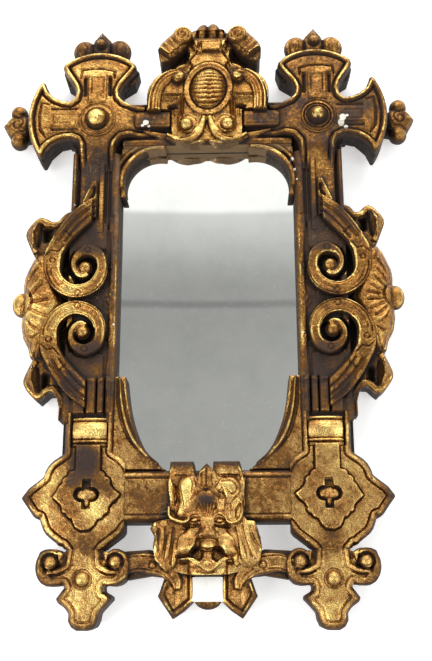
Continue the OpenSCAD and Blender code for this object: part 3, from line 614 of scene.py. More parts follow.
def crest_piece():
    z = 9.3
    parts = [sawn(cad_copy("crest_plate"), CREST)]
    parts.append(slab([(-11, 39), (12, 39), (12.6, 55.4), (-11.4, 55.4)], SEAT - 4, CREST + 1.4, ((1, 1),)))
    parts.append(slab([(-31, 20), (31, 20), (30, 31), (20, 40), (-20, 40), (-30, 31)], 8, 20, ((1, 1),)))
    for s in (-1, 1):
        facet = sided(s, [(6.4, 47.4), (8.4, 40.4), (10.2, 40.8), (12.8, 44), (12.6, 50.4), (9.6, 49.4)])
        parts.append(slab(facet, SEAT, CREST + 4.4, ((1.4, 1.4), (1, 1.2))))
    piece = carved("crest_plate", parts, 0.45, 1)
    # the hood slopes back from a flat bar to the shell
    raised(piece, [(-10.6, 48), (12, 48), (12.4, 56), (-11.2, 56)], 31.6, 0.5, tilt=(0, 48, 0, -0.7))
    raised(piece, [(-5.4, 41), (7.6, 40.8), (8.2, 47.8), (-6.2, 47.8)], CREST + 2.9, 0.5)
    raised(piece, box(-14, 15, 53, 66), 9, 0.8, back=8)
    raised(piece, egg(0.5, z + 0.4, 17.8, 21.6), CREST + 2, 0.7)
    strokes = [(egg(0.5, z, 12.9, 16.4) + egg(0.5, z, 12.9, 16.4)[:1], 0.6, 2),
        (egg(0.5, z + 0.4, 18.4, 22.2)[4:17], 0.5, 1.2), (egg(0.5, z, 15, 18.7)[2:19], 0.4, 0.5),
        ([(-5.2, 39.8), (7.6, 39.6)], 0.55, 1.6), ([(-6, 47.9), (8, 47.9)], 0.45, 1)]
    for s in (-1, 1):
        # frames that step in round a square hole, and the bars under them
        for level, x, low, rise in ((6, 17.4, -23, 1.3), (3.2, 19.9, -24, 0.9), (0.3, 22.5, -12, 0.5)):
            strokes.append((sided(s, [(32, level), (x, level), (x, low)]), 0.7, -rise - 0.7))
        strokes += [(sided(s, [(22.8, -4.2), (26, -4.2)]), 1.5, 5),
            (sided(s, [(26.4, -9), (26.4, -18)]), 3, 1.2), (sided(s, [(23, -11), (31, -11)]), 0.5, -0.8)]
        # the neck's border, and the curl in its side
        curl = sided(s,
            [(14.6, 41), (18, 40.6), (20, 37.4), (18.6, 33.6), (15.6, 31.4), (16.4, 28), (20, 26.4)])
        strokes += [(smooth(curl), 0.9, -1.9),
            (smooth(sided(s, [(9.6, 40), (11.6, 37), (14.2, 33), (12.2, 29), (13.2, 26)])), 0.55, 1.7),
            (sided(s, [(9.4, 39.4), (9.2, 41.6)]), 0.5, 1.4)]
    cut(piece, strokes)
    return piece


def cabochon_piece():
    x, z = 0.5, 9.3
    stone = ball(x, z, CREST, 12.2, 7.6, 15.6)
    strokes = []
    for i in range(9):
        level = z + 13.4 - i * 3.15
        sag = 1 + i * 0.28
        half = 12 * math.sqrt(max(0.05, 1 - ((level - z) / 16) ** 2))
        line = [(x + t, level + sag * ((t / 12.5) ** 2 - 0.4)) for t in np.linspace(-half, half, 9)]
        strokes.append((line, 0.5, 1.15))
        strokes.append(([(t, y - 1.5) for t, y in line], 0.8, -0.45))
    strokes += [([(x + 0.6, z + 2), (x + 1, z - 15)], 1.3, 0.7),
        ([(x - 4, z + 15), (x - 3, z + 7)], 0.4, 0.4), ([(x + 3, z + 15), (x + 4, z + 8)], 0.4, 0.4)]
    return carved("crest_cabochon", [stone], 0.38, 1, strokes)


def shell_piece():
    """Lobes of a shell that look over the hood."""
    parts = [sawn(cad_copy("crest_shell"), 19)]
    for x, top, r, tall in ((-12.4, 64, 4.8, 8.4), (-6.8, 69, 5.8, 10.4), (1.6, 69.4, 6.2, 10.6),
            (8, 64.8, 4.8, 8.6)):
        parts.append(ball(x, top - tall, 18.6, r, 9.6, tall, turn=-x * 1.5))
    strokes = [([(x, 54), (x * 1.1, 70)], 0.7, 0.9) for x in (-9.6, -2.6, 5.2)]
    strokes += [([(x, 60), (x * 1.06, 67)], 1, 0.4) for x in (-7, 2)]
    return carved("crest_shell", parts, 0.42, 2, strokes)


def ear_piece():
    """A scrolled ear: its eye at the top, and a ribbed roll that falls away down and out."""
    x, z = 20, 51.4
    roll = [(17.6, 54, 12), (21.4, 50.2, 14.4), (26.4, 44.8, 15.4), (30.2, 40.4, 15), (33, 37, 12)]
    parts = [sawn(cad_copy("crest_ear_right"), CREST),
        slab(band_outline(roll), SEAT, 35.6, ((1.2, 1.8), (1.6, 1.4), (1.8, 0.8)))]
    piece = carved("ear_roll", parts, 0.42, 2)
    eye = turned(x, z, [(0, SEAT), (7.2, SEAT), (7.2, 33), (6.8, 35), (5.8, 36.2), (4, 36.9), (0, 37.1)])
    piece = carved("crest_ear_right", [piece, eye], 0.42, 2)
    curl = winding(x, z - 0.3, (5.4, 1.2), (-150, -660), 24)
    strokes = [(curl, 0.8, 1.1), (arc(x, z, 7.6, -120, 10, 12), 0.8, 1.4)]
    for far_out, depth in ((11, 1.1), (16, 0.9)):
        px, pz = x + far_out * 0.66, z - far_out * 0.75
        strokes.append(
            (smooth([(px - 6.4, pz - 3.6), (px - 0.6, pz - 0.6), (px + 4.6, pz + 5.2)], 3), 1.1, depth))
        strokes.append(
            (smooth([(px - 4.6, pz - 6.2), (px + 1.2, pz - 3), (px + 6.4, pz + 2.6)], 3), 1.2, -0.5))
    cut(piece, strokes)
    return piece


def crest_scroll_piece():
    back = sawn(cad_copy("crest_scroll_right"), CREST - 4)
    h = CREST + 2.6
    # a broad quarter moulding with grooves along it, curling over to a ball
    path = [(38, -7.5, 10.4), (37.6, 5, 10.4), (34.4, 14.6, 10.2), (28.6, 20.4, 9.6), (22.6, 22.4, 8),
        (18.8, 21, 6.2)]
    parts = [back, slab(band_outline(path, 5), SEAT, h, ((0.8, 1.4), (1.2, 0.9), (1.4, 0.3)))]
    parts += [ball(20.8, 18.2, h - 0.6, 4.6, 4.4, 3.6, turn=30),
        slab([(21, 1), (34, 1), (33, 8), (29, 14), (21, 15.6)], SEAT, h - 3.4, ((0.6, 0.6),))]
    piece = carved("crest_scroll_right", parts, 0.42, 1)
    strokes = [(line_beside(path, 3, 0, 0.9), 0.5, 0.9), (line_beside(path, 0.8, 0, 0.86), 0.45, 0.8),
        (line_beside(path, -2, 0, 0.8), 0.6, 1.3), (line_beside(path, -3.6, 0.05, 0.7), 0.6, -0.4),
        ([(17, 15.4), (21, 14.4), (25.6, 16.4)], 0.7, 1), ([(22, 8.6), (31, 8.6)], 0.45, 0.9),
        ([(22, 11.4), (29.6, 11.4)], 0.4, 0.6)]
    cut(piece, strokes)
    return piece


def volutes_piece():
    """Two volutes over bands that part at the middle and sweep out under them."""
    h = CREST + 1
    parts = []
    strokes = []
    for s in (-1, 1):
        x, z = s * 13.2, -17.8
        band = sided(s,
            [(1.6, -12.6, 3.4), (3.6, -19.6, 5.2), (5.8, -25, 6), (9.6, -29, 5.6), (15, -31, 4.6),
                (22, -30, 3.4), (28.6, -26.6, 2.2)])
        under = sided(s,
            [(0.6, -28.6, 3.4), (6, -31.6, 3.4), (13, -32.2, 3), (22, -31, 2.6), (29, -28, 1.6)])
        parts += [
            turned(x, z, [(0, CREST - 4), (7.8, CREST - 4), (7.8, h - 0.4), (7, h + 0.4), (0, h + 0.2)]),
            ball(s * 14.6, z - 1.6, h + 0.2, 4.9, 4.6, 5),
            slab(band_outline(band), CREST - 4, h + 2, ((0.7, 1), (0.8, 0.5))),
            slab(band_outline(under), CREST - 10, h - 1.2, ((0.5, 0.7), (0.4, 0.2)))]
        strokes += [(arc(x, z, 6, 90 + s * 110, 90 - s * 110, 14), 0.5, 0.9),
            (smooth(sided(s, [(7, -17.4), (8.4, -23.4), (12.6, -27.4), (18.4, -29.2), (24, -27)])), 0.7,
                -1.5), (smooth(sided(s, [(8.4, -25.6), (12.4, -29), (18.4, -30.6)])), 0.4, 1)]
    parts.append(slab([(-4.6, -10), (4.6, -10), (6.4, -15), (3, -22), (0, -26), (-3, -22), (-6.4, -15)],
        CREST - 4, h, ((0.6, 0.6),)))
    strokes += [([(0.1, -16.6), (0.1, -27)], 0.7, 1.6), ([(-4.4, -11.8), (4.4, -11.8)], 0.5, 0.8)]
    return carved("crest_volutes", parts, 0.42, 1, strokes)


# Side scrolls, drawn about the middle of the stile's long side for the upper half

def scroll_path():
    """The middle line from the strap round the C scroll to its curl, and the widths along it."""
    return [[-5.6, 71.4, 14.2], [-0.3, 67.2, 14.3], [6.7, 62, 15], [12.7, 55.9, 14.5], [19.1, 47.8, 13.2],
        [24, 40.2, 12.2], [26.9, 34, 12.2], [27.8, 26.5, 12.2], [27.3, 19.8, 10.8], [24, 12.9, 10.2],
        [17.6, 7.7, 9.8], [10.9, 5.8, 9.7], [3.8, 7.1, 9.3], [-2.3, 11.2, 8.8], [-5.7, 17.5, 8],
        [-6.3, 25, 7], [-3.2, 32, 6.3], [3, 35.7, 5.5], [9.4, 34.3, 5.1], [13.5, 29.5, 5],
        [12.9, 24.3, 4.6]]


def scroll_piece(name, up):
    """One scroll with its strap: up is 1 for the upper one."""
    x, z = SCROLL_AT
    path = scroll_path()
    h = SEAT + 11
    there = about(SCROLL_AT, up)
    edge = ((0.5, 0.9), (0.7, 0.4))
    # the far end of the ring is broad and winds on into the eye
    curl = path[6:16] + [[-4, 31.8, 7.6], [2.4, 35.4, 8], [8.4, 33.6, 6.2], [12, 29.6, 4.8],
        [13, 25.2, 4.2], [12, 21, 4], [9.4, 17.8, 3.8], [6, 16.8, 3.6], [3.2, 18.6, 3.4]]
    arm = sawn_off(slab(there(band_outline(path[:9])), SEAT, h, edge), (x + 1.8, 0, 0), (-1, 0, 0))
    parts = [arm, slab(there(band_outline(curl)), SEAT, h - 0.4, edge),
        ball(x + 5.6, z + up * 22.8, SEAT + 6.4, 5, 5.6, 5)]
    if up > 0:
        # pointed end of the strap on the field
        parts.append(slab(there([(-0.7, 60), (-0.4, 88.4), (2.4, 88), (9.2, 72), (8, 63)]), SEAT,
            SEAT + 7.6, ((0.6, 0.6), (0.8, 0.1), (0.4, -0.6))))
    piece = carved(name, parts, 0.46, 1)
    strokes = [
        # ribs and grooves along the strap, fading as they pass into the scroll
        (line_beside(path, 5.6, 0, 0.24), 1.5, 1.6), (line_beside(path, 3.1, 0, 0.27), 0.5, -1.3),
        (line_beside(path, 1.3, 0, 0.25), 0.6, 1), (line_beside(path, -1, 0, 0.24), 0.45, -0.7),
        (line_beside(path, -2.9, 0, 0.24), 0.6, 1.2), (line_beside(path, -5.2, 0, 0.25), 0.5, -0.6),
        # borders and grooves of the scroll
        (line_beside(path, 3.5, 0.36, 0.74), 0.45, 1.1), (line_beside(path, -3.5, 0.38, 0.74), 0.4, 0.8),
        (line_beside(path, 1, 0.38, 0.5), 0.55, 0.9), (line_beside(path, -1.2, 0.40, 0.5), 0.4, 0.5),
        (line_beside(path, 0.6, 0.58, 0.72), 0.4, 0.5),
        ([(8.8, 31.6), (11.4, 28.8), (12.4, 25), (11.4, 21.4), (8.8, 18.4)], 0.6, -0.5),
        # step where the strap meets the scroll
        ([(20.4, 38.6), (24, 34.4), (28.4, 35.4), (32.6, 31.6)], 0.5, 1.2),
        ([(22.6, 30.4), (25, 28.6), (30, 29.4)], 0.4, 0.4), ([(15.4, 45.6), (19.4, 49.4)], 0.5, 0.9),
        ([(6.4, 68), (9, 72), (2.6, 87)], 0.5, -0.5), ([(1, 83.6), (1.2, 79), (3.4, 75.4)], 1, 2.6),
        ([(18.6, 14.6), (21, 10)], 0.35, 0.5), ([(-2.4, 19.4), (-8, 20.4)], 0.35, 0.5)]
    for px, pz in ((9.4, 4.6), (27.6, 28), (3.6, 35.2)):
        strokes += [(arc(px, pz, 2, 0, 360, 14), 0.42, 0.9), ([(px, pz)], 0.8, -0.6)]
    cut(piece, strokes, SCROLL_AT, up)
    return piece


def strap_piece(s):
    """The strapwork that bends out above and below the shell, with a faceted corner over each hole."""
    name = "side_strap_" + side(s)
    at = (SCROLL_AT[0], SCROLL_AT[1] + 1.2 * s)
    h = STRAP + 2.4
    # its ground runs on behind the scrolls
    parts = [slab(moved([(12, -42), (34, -42), (36, -8), (34, 8), (36, 42), (12, 42)], at), 5, 13,
        ((0.6, 0.6),))]
    outer = [(12, 68), (17.6, 67.6), (20.6, 65.4), (23, 61.9), (28.2, 62.3), (31.6, 65.6), (34.4, 68),
        (38.9, 63.1), (44.3, 56), (42.6, 49), (39, 42), (36, 36), (31, 33), (14, 50)]
    for up in (1, -1):
        there = about(at, up)
        parts.append(slab(there(outer), 5, h - 2.4, ((0.6, 0.6),)))
        parts.append(slab(there(band_outline([(14, 65.6, 4.4), (19.4, 64.4, 4.8), (23.2, 59.8, 4.8),
                    (28.6, 60.2, 4.6), (33.2, 64.6, 4.4), (36.6, 63.2, 4.4), (42, 55.6, 4.6),
                    (40.6, 49, 4.4), (36.6, 40, 4.2)], 3)), 8, h, ((0.7, 1), (0.6, 0.3))))
        parts.append(slab(
            there([(34.2, 63.6), (37.6, 62.6), (43.2, 55.4), (42.2, 49), (38.4, 42), (36, 46.4), (35, 55)]),
            SEAT, h + 3.2, ((1.8, 1.9), (1.4, 1.6))))
    # block under the lower bracket
    parts.append(slab(moved([(10, 58), (24, 60), (21.6, 66), (20, 72), (20.2, 80.4), (10, 80.4)], at, -1),
        5, SEAT + 4.5, ((0.8, 0.8), (0.6, 0.2))))
    piece = carved(name, parts, 0.46, 1)
    hole_strokes = [([(30.4, 51), (30.6, 55.4)], 2.2, 7), ([(31.6, 57.4), (28.4, 57)], 1.2, 3),
        ([(33.6, 60), (34, 52), (35.6, 45)], 0.6, 1.2), ([(15, 61.4), (20.4, 60.6), (24, 56.4)], 0.5, 0.7),
        ([(38.4, 61), (38.6, 53), (37, 44)], 0.5, -0.6), ([(24, 51), (27.4, 45), (31, 40)], 0.6, -0.7)]
    block_strokes = [([(23.4, 61), (20, 66), (18.4, 72), (18.2, 80)], 0.6, 1.2),
        ([(19.8, 61), (16.6, 66), (15.4, 80)], 0.6, 0.9), ([(12.4, 66), (12.4, 79)], 0.6, 1)]
    strokes = []
    for up, own in ((1, hole_strokes), (-1, hole_strokes + block_strokes)):
        strokes += [(moved(path, at, up), *stroke) for path, *stroke in own]
    cut(piece, strokes)
    if s > 0:
        return piece
    # the upper corner on the left stands further out
    co = spots(piece)
    lean = held((co[:, 0] - 98) / 12) * held((co[:, 2] + 126) / 12)
    co[:, 0] += 3.8 * lean
    co[:, 2] -= 3.4 * lean
    set_spots(piece, co)
    return mirrored_over(piece)


def shell_side_piece(s):
    """The swelling shell at the stile's middle: flutes that fan out from the lug on its rim."""
    at = (SCROLL_AT[0], SCROLL_AT[1] + 1.2 * s)
    x, z = at
    here = about(at)
    outline = [(31, 38), (38, 38), (42, 33), (44.6, 27), (47.4, 20), (48.2, 14), (47.8, 8), (48.6, 0),
        (48, -8.6), (48.4, -15), (46.6, -24), (42.8, -31), (41, -38), (32, -39), (27, -30), (26, -20),
        (24, -11), (21, -5), (20, 0), (21, 5), (24, 12), (26, 20), (27, 28)]
    top = STRAP + 7.2
    piece = carved("side_shell_" + side(s), [slab(here(outline), 5, top, ())], 0.46, 0)
    shaped(piece, here(outline), top, ((0, 0.8, 2, 3.4, 5, 8, 12), (-8.4, -6.6, -5, -3, -1.4, -0.3, 0)))
    lug = ball(x + 49.4, z + 0.6, STRAP - 4.6, 6.6, 6.6, 8.6)
    piece = carved(piece.name, [piece, lug], 0.46, 1)
    fan = (((37.8, 24.7), (41.5, 19.6), (44.2, 13.8)), ((37, 18), (41, 13.4), (43.4, 8.4)),
        ((35.2, 12), (39.3, 8), (42, 4.6)), ((31.8, 7), (37, 4), (41, 1.6)),
        ((29.6, 1.6), (35.6, 0.4), (41, -0.4)), ((29.4, -4), (35.4, -3.6), (41, -2.8)),
        ((31, -10), (36.4, -8), (41.2, -5.4)), ((33.6, -15), (38.8, -12), (42.4, -8.6)),
        ((35.4, -20), (40.6, -17), (43.8, -12)))
    strokes = []
    # the left shell has fewer and broader flutes
    for flute in fan[::2 - (s > 0)]:
        strokes.append((smooth(flute), 0.7 + 0.4 * (s < 0), 1.1 + 0.3 * (s < 0)))
        strokes.append(
            ([(u - 0.2, v + 2.2 + 1.4 * (s < 0)) for u, v in smooth(flute)], 0.6 + 0.9 * (s < 0), -0.6))
    strokes += [([(39, 34.9), (41.6, 26.8), (45, 18.1), (45.4, 10)], 0.5, 1.1),
        ([(46, -11.6), (45, -21.4), (41.2, -28.2), (39.2, -38)], 0.5, 1.1),
        ([(34.6, -22), (38.6, -25), (41.6, -24)], 0.7, 1.3), ([(35.4, -27), (37.6, -37)], 0.9, 1.4),
        ([(35.6, 25), (38.6, 33)], 0.8, 1.2), (arc(48.8, 0.6, 8.2, 105, 255, 12), 0.8, 1.7),
        ([(45.4, 6.4), (47, 0.4), (45.4, -5.6)], 0.5, 0.6)]
    cut(piece, strokes, at)
    return piece if s > 0 else mirrored_over(piece)


# Frame members: plain backs from the CAD model, carved mouldings in front

def plain_back(node):
    """The member behind its seat, its edges broken."""
    piece = sawn(cad_copy(node), SEAT - 0.3)
    edge = piece.modifiers.new("edge", "BEVEL")
    edge.width = 0.5 * MM
    edge.segments = 2
    edge.limit_method = "ANGLE"
    edge.angle_limit = math.radians(40)
    take(piece)
    bpy.ops.object.modifier_apply(modifier="edge")
    return piece


STILE_PROFILE = [(95, 12), (95, 24.6), (94.3, 25.7), (93.2, 26), (92.2, 25.5), (91.7, 24), (91.2, 20.5),
    (90.2, 20.2), (89.6, 22.6), (88.8, 23), (78, 23), (77.4, 22.6), (77, 20.6), (76.6, 20.6), (76.2, 23.6),
    (75.4, 24.2), (73.2, 24.2), (72.4, 23.6), (71.8, 20.4), (70.6, 20), (70.2, 21.8), (69.6, 21.8),
    (69.2, 20), (68.2, 20), (67.6, 23.2), (66.6, 25), (64.4, 25.2), (62.2, 23.8), (61.1, 21.8), (61, 12.6)]
LOW_PROFILE = [(95, 12), (95, 23.8), (94, 24.8), (92, 24.8), (90.8, 24), (90.2, 21.6), (66.6, 21.6),
    (66, 24), (64.6, 24.6), (62.2, 24.4), (61.1, 23), (61, 12.6)]


def stile_piece(s):
    name = "stile_" + side(s)
    parts = []
    for profile, low, high in ((STILE_PROFILE, -98, -38), (LOW_PROFILE, -232, -96)):
        parts.append(planed([(x, h, low) for x, h in profile], (0, 0, high - low)))
    # ground inside the scrolls, and the fluted block under them
    parts.append(slab(moved(box(-16.6, 17, -62, 62), SCROLL_AT), 12, SEAT + 3, ((0.6, 0.4),)))
    piece = carved(name + "_front", parts, 0.6, 1)
    beside = [(-16.6, -1), (-9.6, -1), (-14.4, 14), (-14.8, 34), (-11, 44), (-9.6, 62), (-16.6, 62)]
    above = [(-8.6, 38), (-3.4, 36), (2.6, 39.4), (9, 39), (17, 34), (17, 50), (-0.6, 60), (-8.6, 56)]
    sunk = [(16.2, 30), (17, 20), (12, 14), (5, 14.6), (-1.6, 19), (-2.4, 26), (2, 32), (9, 32), (14, 36)]
    for up in (1, -1):
        for outline, h in ((beside, SEAT + 5.6), (above, SEAT + 5.4), (sunk, SEAT - 1.5)):
            raised(piece, moved(outline, SCROLL_AT, up), h, 0.6)
    for x0, x1, z0, z1, h in ((63.5, 67, -226, -201, 25.6), (68.2, 72.4, -226, -201.6, 26.4),
            (73.4, 79.6, -226, -202, 26.2), (80.6, 84.2, -226, -212, 25.2), (85, 95, -226, -216, 23.4)):
        raised(piece, box(x0, x1, z0, z1), h, 0.5)
    raised(piece, [(81, -226), (88, -226), (88.6, -214), (84.6, -206), (80.4, -212)], 25.8, 0.5)
    strokes = [([(69.8, -147.6), (66.4, -143.4), (63.2, -147)], 0.8, -1.2),
        ([(69.8, -149.6), (66.4, -154), (63.2, -150)], 0.8, -1.2), ([(64, -141), (70, -152.6)], 0.4, -0.7),
        ([(70, -142), (64.6, -153)], 0.4, -0.7)]
    for px, pz in ((1.7, 37.2), (-1, -36), (-11.6, -27), (-11.4, 24)):
        centre = (SCROLL_AT[0] + px, SCROLL_AT[1] + pz)
        strokes += [(arc(*centre, 2.2, 0, 360, 14), 0.45, 1), ([centre], 0.8, -0.5)]
    strokes += [([(60.8, -205), (67, -203.4), (73, -205), (82, -203)], 0.8, -1),
        ([(67.4, -226), (67.4, -202)], 0.5, 1.8), ([(72.9, -226), (72.9, -202)], 0.5, 1.6),
        ([(80.1, -226), (80.1, -206)], 0.5, 1.6), ([(76.4, -224), (76.4, -206)], 0.4, 0.5)]
    cut(piece, strokes)
    if s < 0:
        piece = mirrored_over(piece)
    return joined(name, [plain_back("stile_" + side(s)), piece])


def rail_top_piece():
    # from the top edge down to the sight edge
    profile = [(3, 12), (3, 20.6), (2.2, 21.6), (0.6, 21.8), (-0.4, 20.6), (-1, 19.2), (-2.6, 19.2),
        (-3.2, 21.2), (-4.4, 22.6), (-20, 22.6), (-20.6, 21), (-21.8, 21), (-22.4, 23.6), (-23.6, 24.4),
        (-24.8, 23.6), (-25.2, 21.4), (-26.4, 21.2), (-27, 23.6), (-28.4, 25), (-30.4, 25), (-32, 24),
        (-33, 22), (-33, 12.6)]
    parts = [planed([(-60, h, z) for z, h in profile], (120, 0, 0))]
    strokes = []
    for s in (-1, 1):
        # strap block between the crest and the cross
        parts.append(slab(sided(s, [(26, -19), (50, -19), (52, -17), (52, -9), (50, -7), (26, -7)]), SEAT,
            27.4, ((0.6, 0.7), (0.8, 0.2))))
        parts.append(slab(
            sided(s, [(20, -30.6), (33, -27.6), (45, -22.6), (46, -20.6), (30, -23.4), (20, -25.6)]), SEAT,
            26.4, ((0.6, 0.7), (0.6, 0.15))))
        strokes += [(sided(s, [(27, -17.4), (50, -17.4)]), 0.4, 0.4),
            (sided(s, [(27, -8.6), (50, -8.6)]), 0.4, 0.4)]
    front = carved("rail_top_front", parts, 0.6, 2, strokes)
    return joined("rail_top", [plain_back("rail_top"), front])


def rail_bottom_piece():
    top = CORNER_FIELD + 2.2
    outline = box(-64, 64, -296, -263.2)
    front = carved("rail_bottom_front", [slab(outline, 12, top, ())], 0.55, 1)
    shaped(front, outline, top, PLATE_RIM)
    for s in (-1, 1):
        sawn_off(front, (s * 53, 0, 0), (s, 0, 0))
    return joined("rail_bottom", [plain_back("rail_bottom"), front])


def spandrel_top_piece():
    base = sawn(cad_copy("spandrel_top_right"), 22)
    # a rounded moulding round the opening's corner, with two lines outside it
    path = arc(34, -60, 26.6, -10, 100, 12)
    parts = [base,
        slab(band_outline([(*p, 4.4) for p in path], 2), 14, 24.6, ((0.6, 1.1), (0.8, 0.7), (0.6, 0.2))),
        slab(band_outline([(*p, 2.6) for p in arc(34, -60, 31.4, -6, 96, 12)], 2), 14, 23.4, ((0.6, 0.7),))]
    strokes = [(arc(34, -60, 29.4, -6, 96, 12), 0.6, 1.4), (arc(34, -60, 34, 10, 80, 10), 0.7, 1.2),
        (arc(34, -60, 36.6, 22, 68, 8), 0.5, -0.6)]
    return carved("spandrel_top_right", parts, 0.45, 2, strokes)


def spandrel_bottom_piece():
    z = SIGHT_BOTTOM
    inner = smooth([(54, z + 62), (51.5, z + 43), (47, z + 27), (40, z + 13), (28, z + 0.6)])
    outline = [(26, z + 0.4), (61.4, z + 0.4), (61.4, z + 62)] + inner
    parts = [slab(outline, 12.6, 23.6, ((0.7, 0.9), (0.9, 0.2)))]
    ridge = smooth([(57.6, z + 61, 1.4), (56, z + 43, 2.2), (51.6, z + 27, 2.6), (44.4, z + 14.5, 2.8),
        (32, z + 3.6, 2.2)])
    parts.append(slab(band_outline(ridge, 1), 18, 25.8, ((0.6, 1.1), (0.4, 0.2))))
    strokes = [(smooth(
                [(59.4, z + 62), (58.8, z + 44), (55, z + 28), (48, z + 16.4), (37, z + 7), (33, z + 5)]),
            0.8, 1.1),
        (smooth([(55.8, z + 58), (53.6, z + 42), (49.2, z + 26.5), (42.2, z + 13.2), (31, z + 2)]), 0.7,
            0.9)]
    return carved("spandrel_bottom_right", parts, 0.5, 2, strokes)


# Lower corners

def corner_piece():
    outline = [(14.8, 56), (14.6, 28), (18, 25.6), (21.4, 23.4), (24.6, 20.2), (26.6, 16.4), (27.6, 12.8),
        (29.8, 11), (33.2, 8.4), (36.8, 5.6), (40.8, 0.2), (41, -1.2), (36, -7.8), (33, -12), (31.4, -13.4),
        (28.8, -13.8), (27.8, -16.6), (26.2, -20.8), (24, -23.8), (20.8, -26.4), (17.8, -28.6),
        (16.2, -30.4), (13.6, -31), (11, -34), (10, -40), (-10.6, -40), (-12, -33.4), (-15.6, -30.4),
        (-19.4, -27.6), (-23.6, -24.4), (-26.4, -20.2), (-29.6, -16.9), (-60, -16.5), (-60, 16.3),
        (-29.6, 16.3), (-27.8, 20), (-23.4, 25.2), (-17.4, 29), (-17.4, 56)]
    x, z = CORNER_AT
    top = CORNER_FIELD + 2.2
    outline = moved(outline, CORNER_AT)
    front = slab(outline, 5, top, ())
    for at, away in (((x - 25.2, 0, 0), (-1, 0, 0)), ((0, 0, z + 54), (0, 0, 1)),
            ((0, 0, z - 32.7), (0, 0, -1))):
        front = sawn_off(front, at, away)
    piece = carved("corner_plate_right", [outward(front)], 0.48, 1)
    shaped(piece, outline, top, PLATE_RIM)
    # housing for the collar, a well behind the plaque's opening, and a line cut round the plaque
    raised(piece, egg(x - 1, z + 1, 8.6, 8.8, 24), 20.6, 0.4)
    raised(piece, box(x - 13.2, x + 10.8, z + 31.6, z + 56), 20.4, 0.4)
    strokes = [([(-5, -27), (0, -25.6), (5, -27)], 1.6, 0.5), (plaque_outline(), 0.7, 0.9),
        ([(28.6, 12.6), (26.4, 11.2), (26, 9)], 0.6, 0.9),
        ([(29.6, -13.6), (27.4, -11.8), (26.6, -9.6)], 0.6, 0.9),
        ([(32, 5.6), (36, 1), (36.2, -2), (32.4, -7)], 0.5, 0.8)]
    cut(piece, strokes, CORNER_AT)
    return piece


def plaque_piece():
    # two round holes and an upright slot make the opening
    lobe = [(0, 23), (4.7, 23), (4.9, 30), (0, 30)]
    x, z = CORNER_AT
    board = slab(moved(plaque_outline(), CORNER_AT), 20, CORNER_FIELD + 3.6, ((0.4, 0.7), (0.6, 0.3)))
    x -= 1
    holes = [turned(x - 3.6, z + 1, lobe), turned(x + 3.6, z + 1, lobe),
        slab(box(x - 2.8, x + 2.8, z - 8.4, z + 10.8), 23, 30, ())]
    for hole in holes:
        gap = board.modifiers.new("gap", "BOOLEAN")
        gap.operation, gap.object, gap.solver = "DIFFERENCE", hole, "EXACT"
        take(board)
        bpy.ops.object.modifier_apply(modifier="gap")
        bpy.data.objects.remove(hole)
    pillow = [ball(x - 3.3, z + 1, 22.2, 3.9, 3.8, 3.9), ball(x + 3.3, z + 1, 22.2, 3.9, 3.8, 3.9),
        ball(x, z + 1, 21.8, 5.2, 5, 4.9), ball(x, z - 3.4, 22, 2.3, 3.4, 3.8)]
    return carved("plaque_right", [board] + pillow, 0.4, 1)


def collar_piece():
    """A turned collar let into the corner plate's head: two rings over a drum and a plain band."""
    piece = sawn(cad_copy("collar_right"), 20)
    x, z = 76.4, -240
    rows = ((11.4, 23), (11, 25.2), (10.2, 25.6), (9.4, 25), (9, 23.8), (8.6, 24.6), (6.4, 25.8),
        (3.2, 26.4), (0, 25.8), (-2.4, 24.6), (-2.9, 23.4), (-3.3, 25), (-4.2, 25.6), (-5, 25),
        (-5.4, 23.6), (-5.8, 24.2), (-7.6, 24.2), (-8.2, 22.6))
    band = slab(box(x - 11.4, x + 11.4, z - 8, z + 11.2), 5, 22.6, ((0.3, 0.3),))
    piece = carved("collar_right", [piece, band], 0.4, 0)
    co = spots(piece)
    near = (facing(piece)[:, 1] < FRONTWARD) & (-co[:, 1] > 21) & (abs(co[:, 0] - x) < 11.2)
    level = np.interp(co[near, 2] - z, [r[0] for r in rows[::-1]], [r[1] for r in rows[::-1]])
    rounding = 3.2 * (1 - np.sqrt(held(1 - ((co[near, 0] - x) / 12.6) ** 2)))
    co[near, 1] = -(level - rounding)
    set_spots(piece, co)
    cut(piece, [([(x - 4, z - 8.4), (x - 4, z - 4)], 0.5, 0.5)])
    return piece


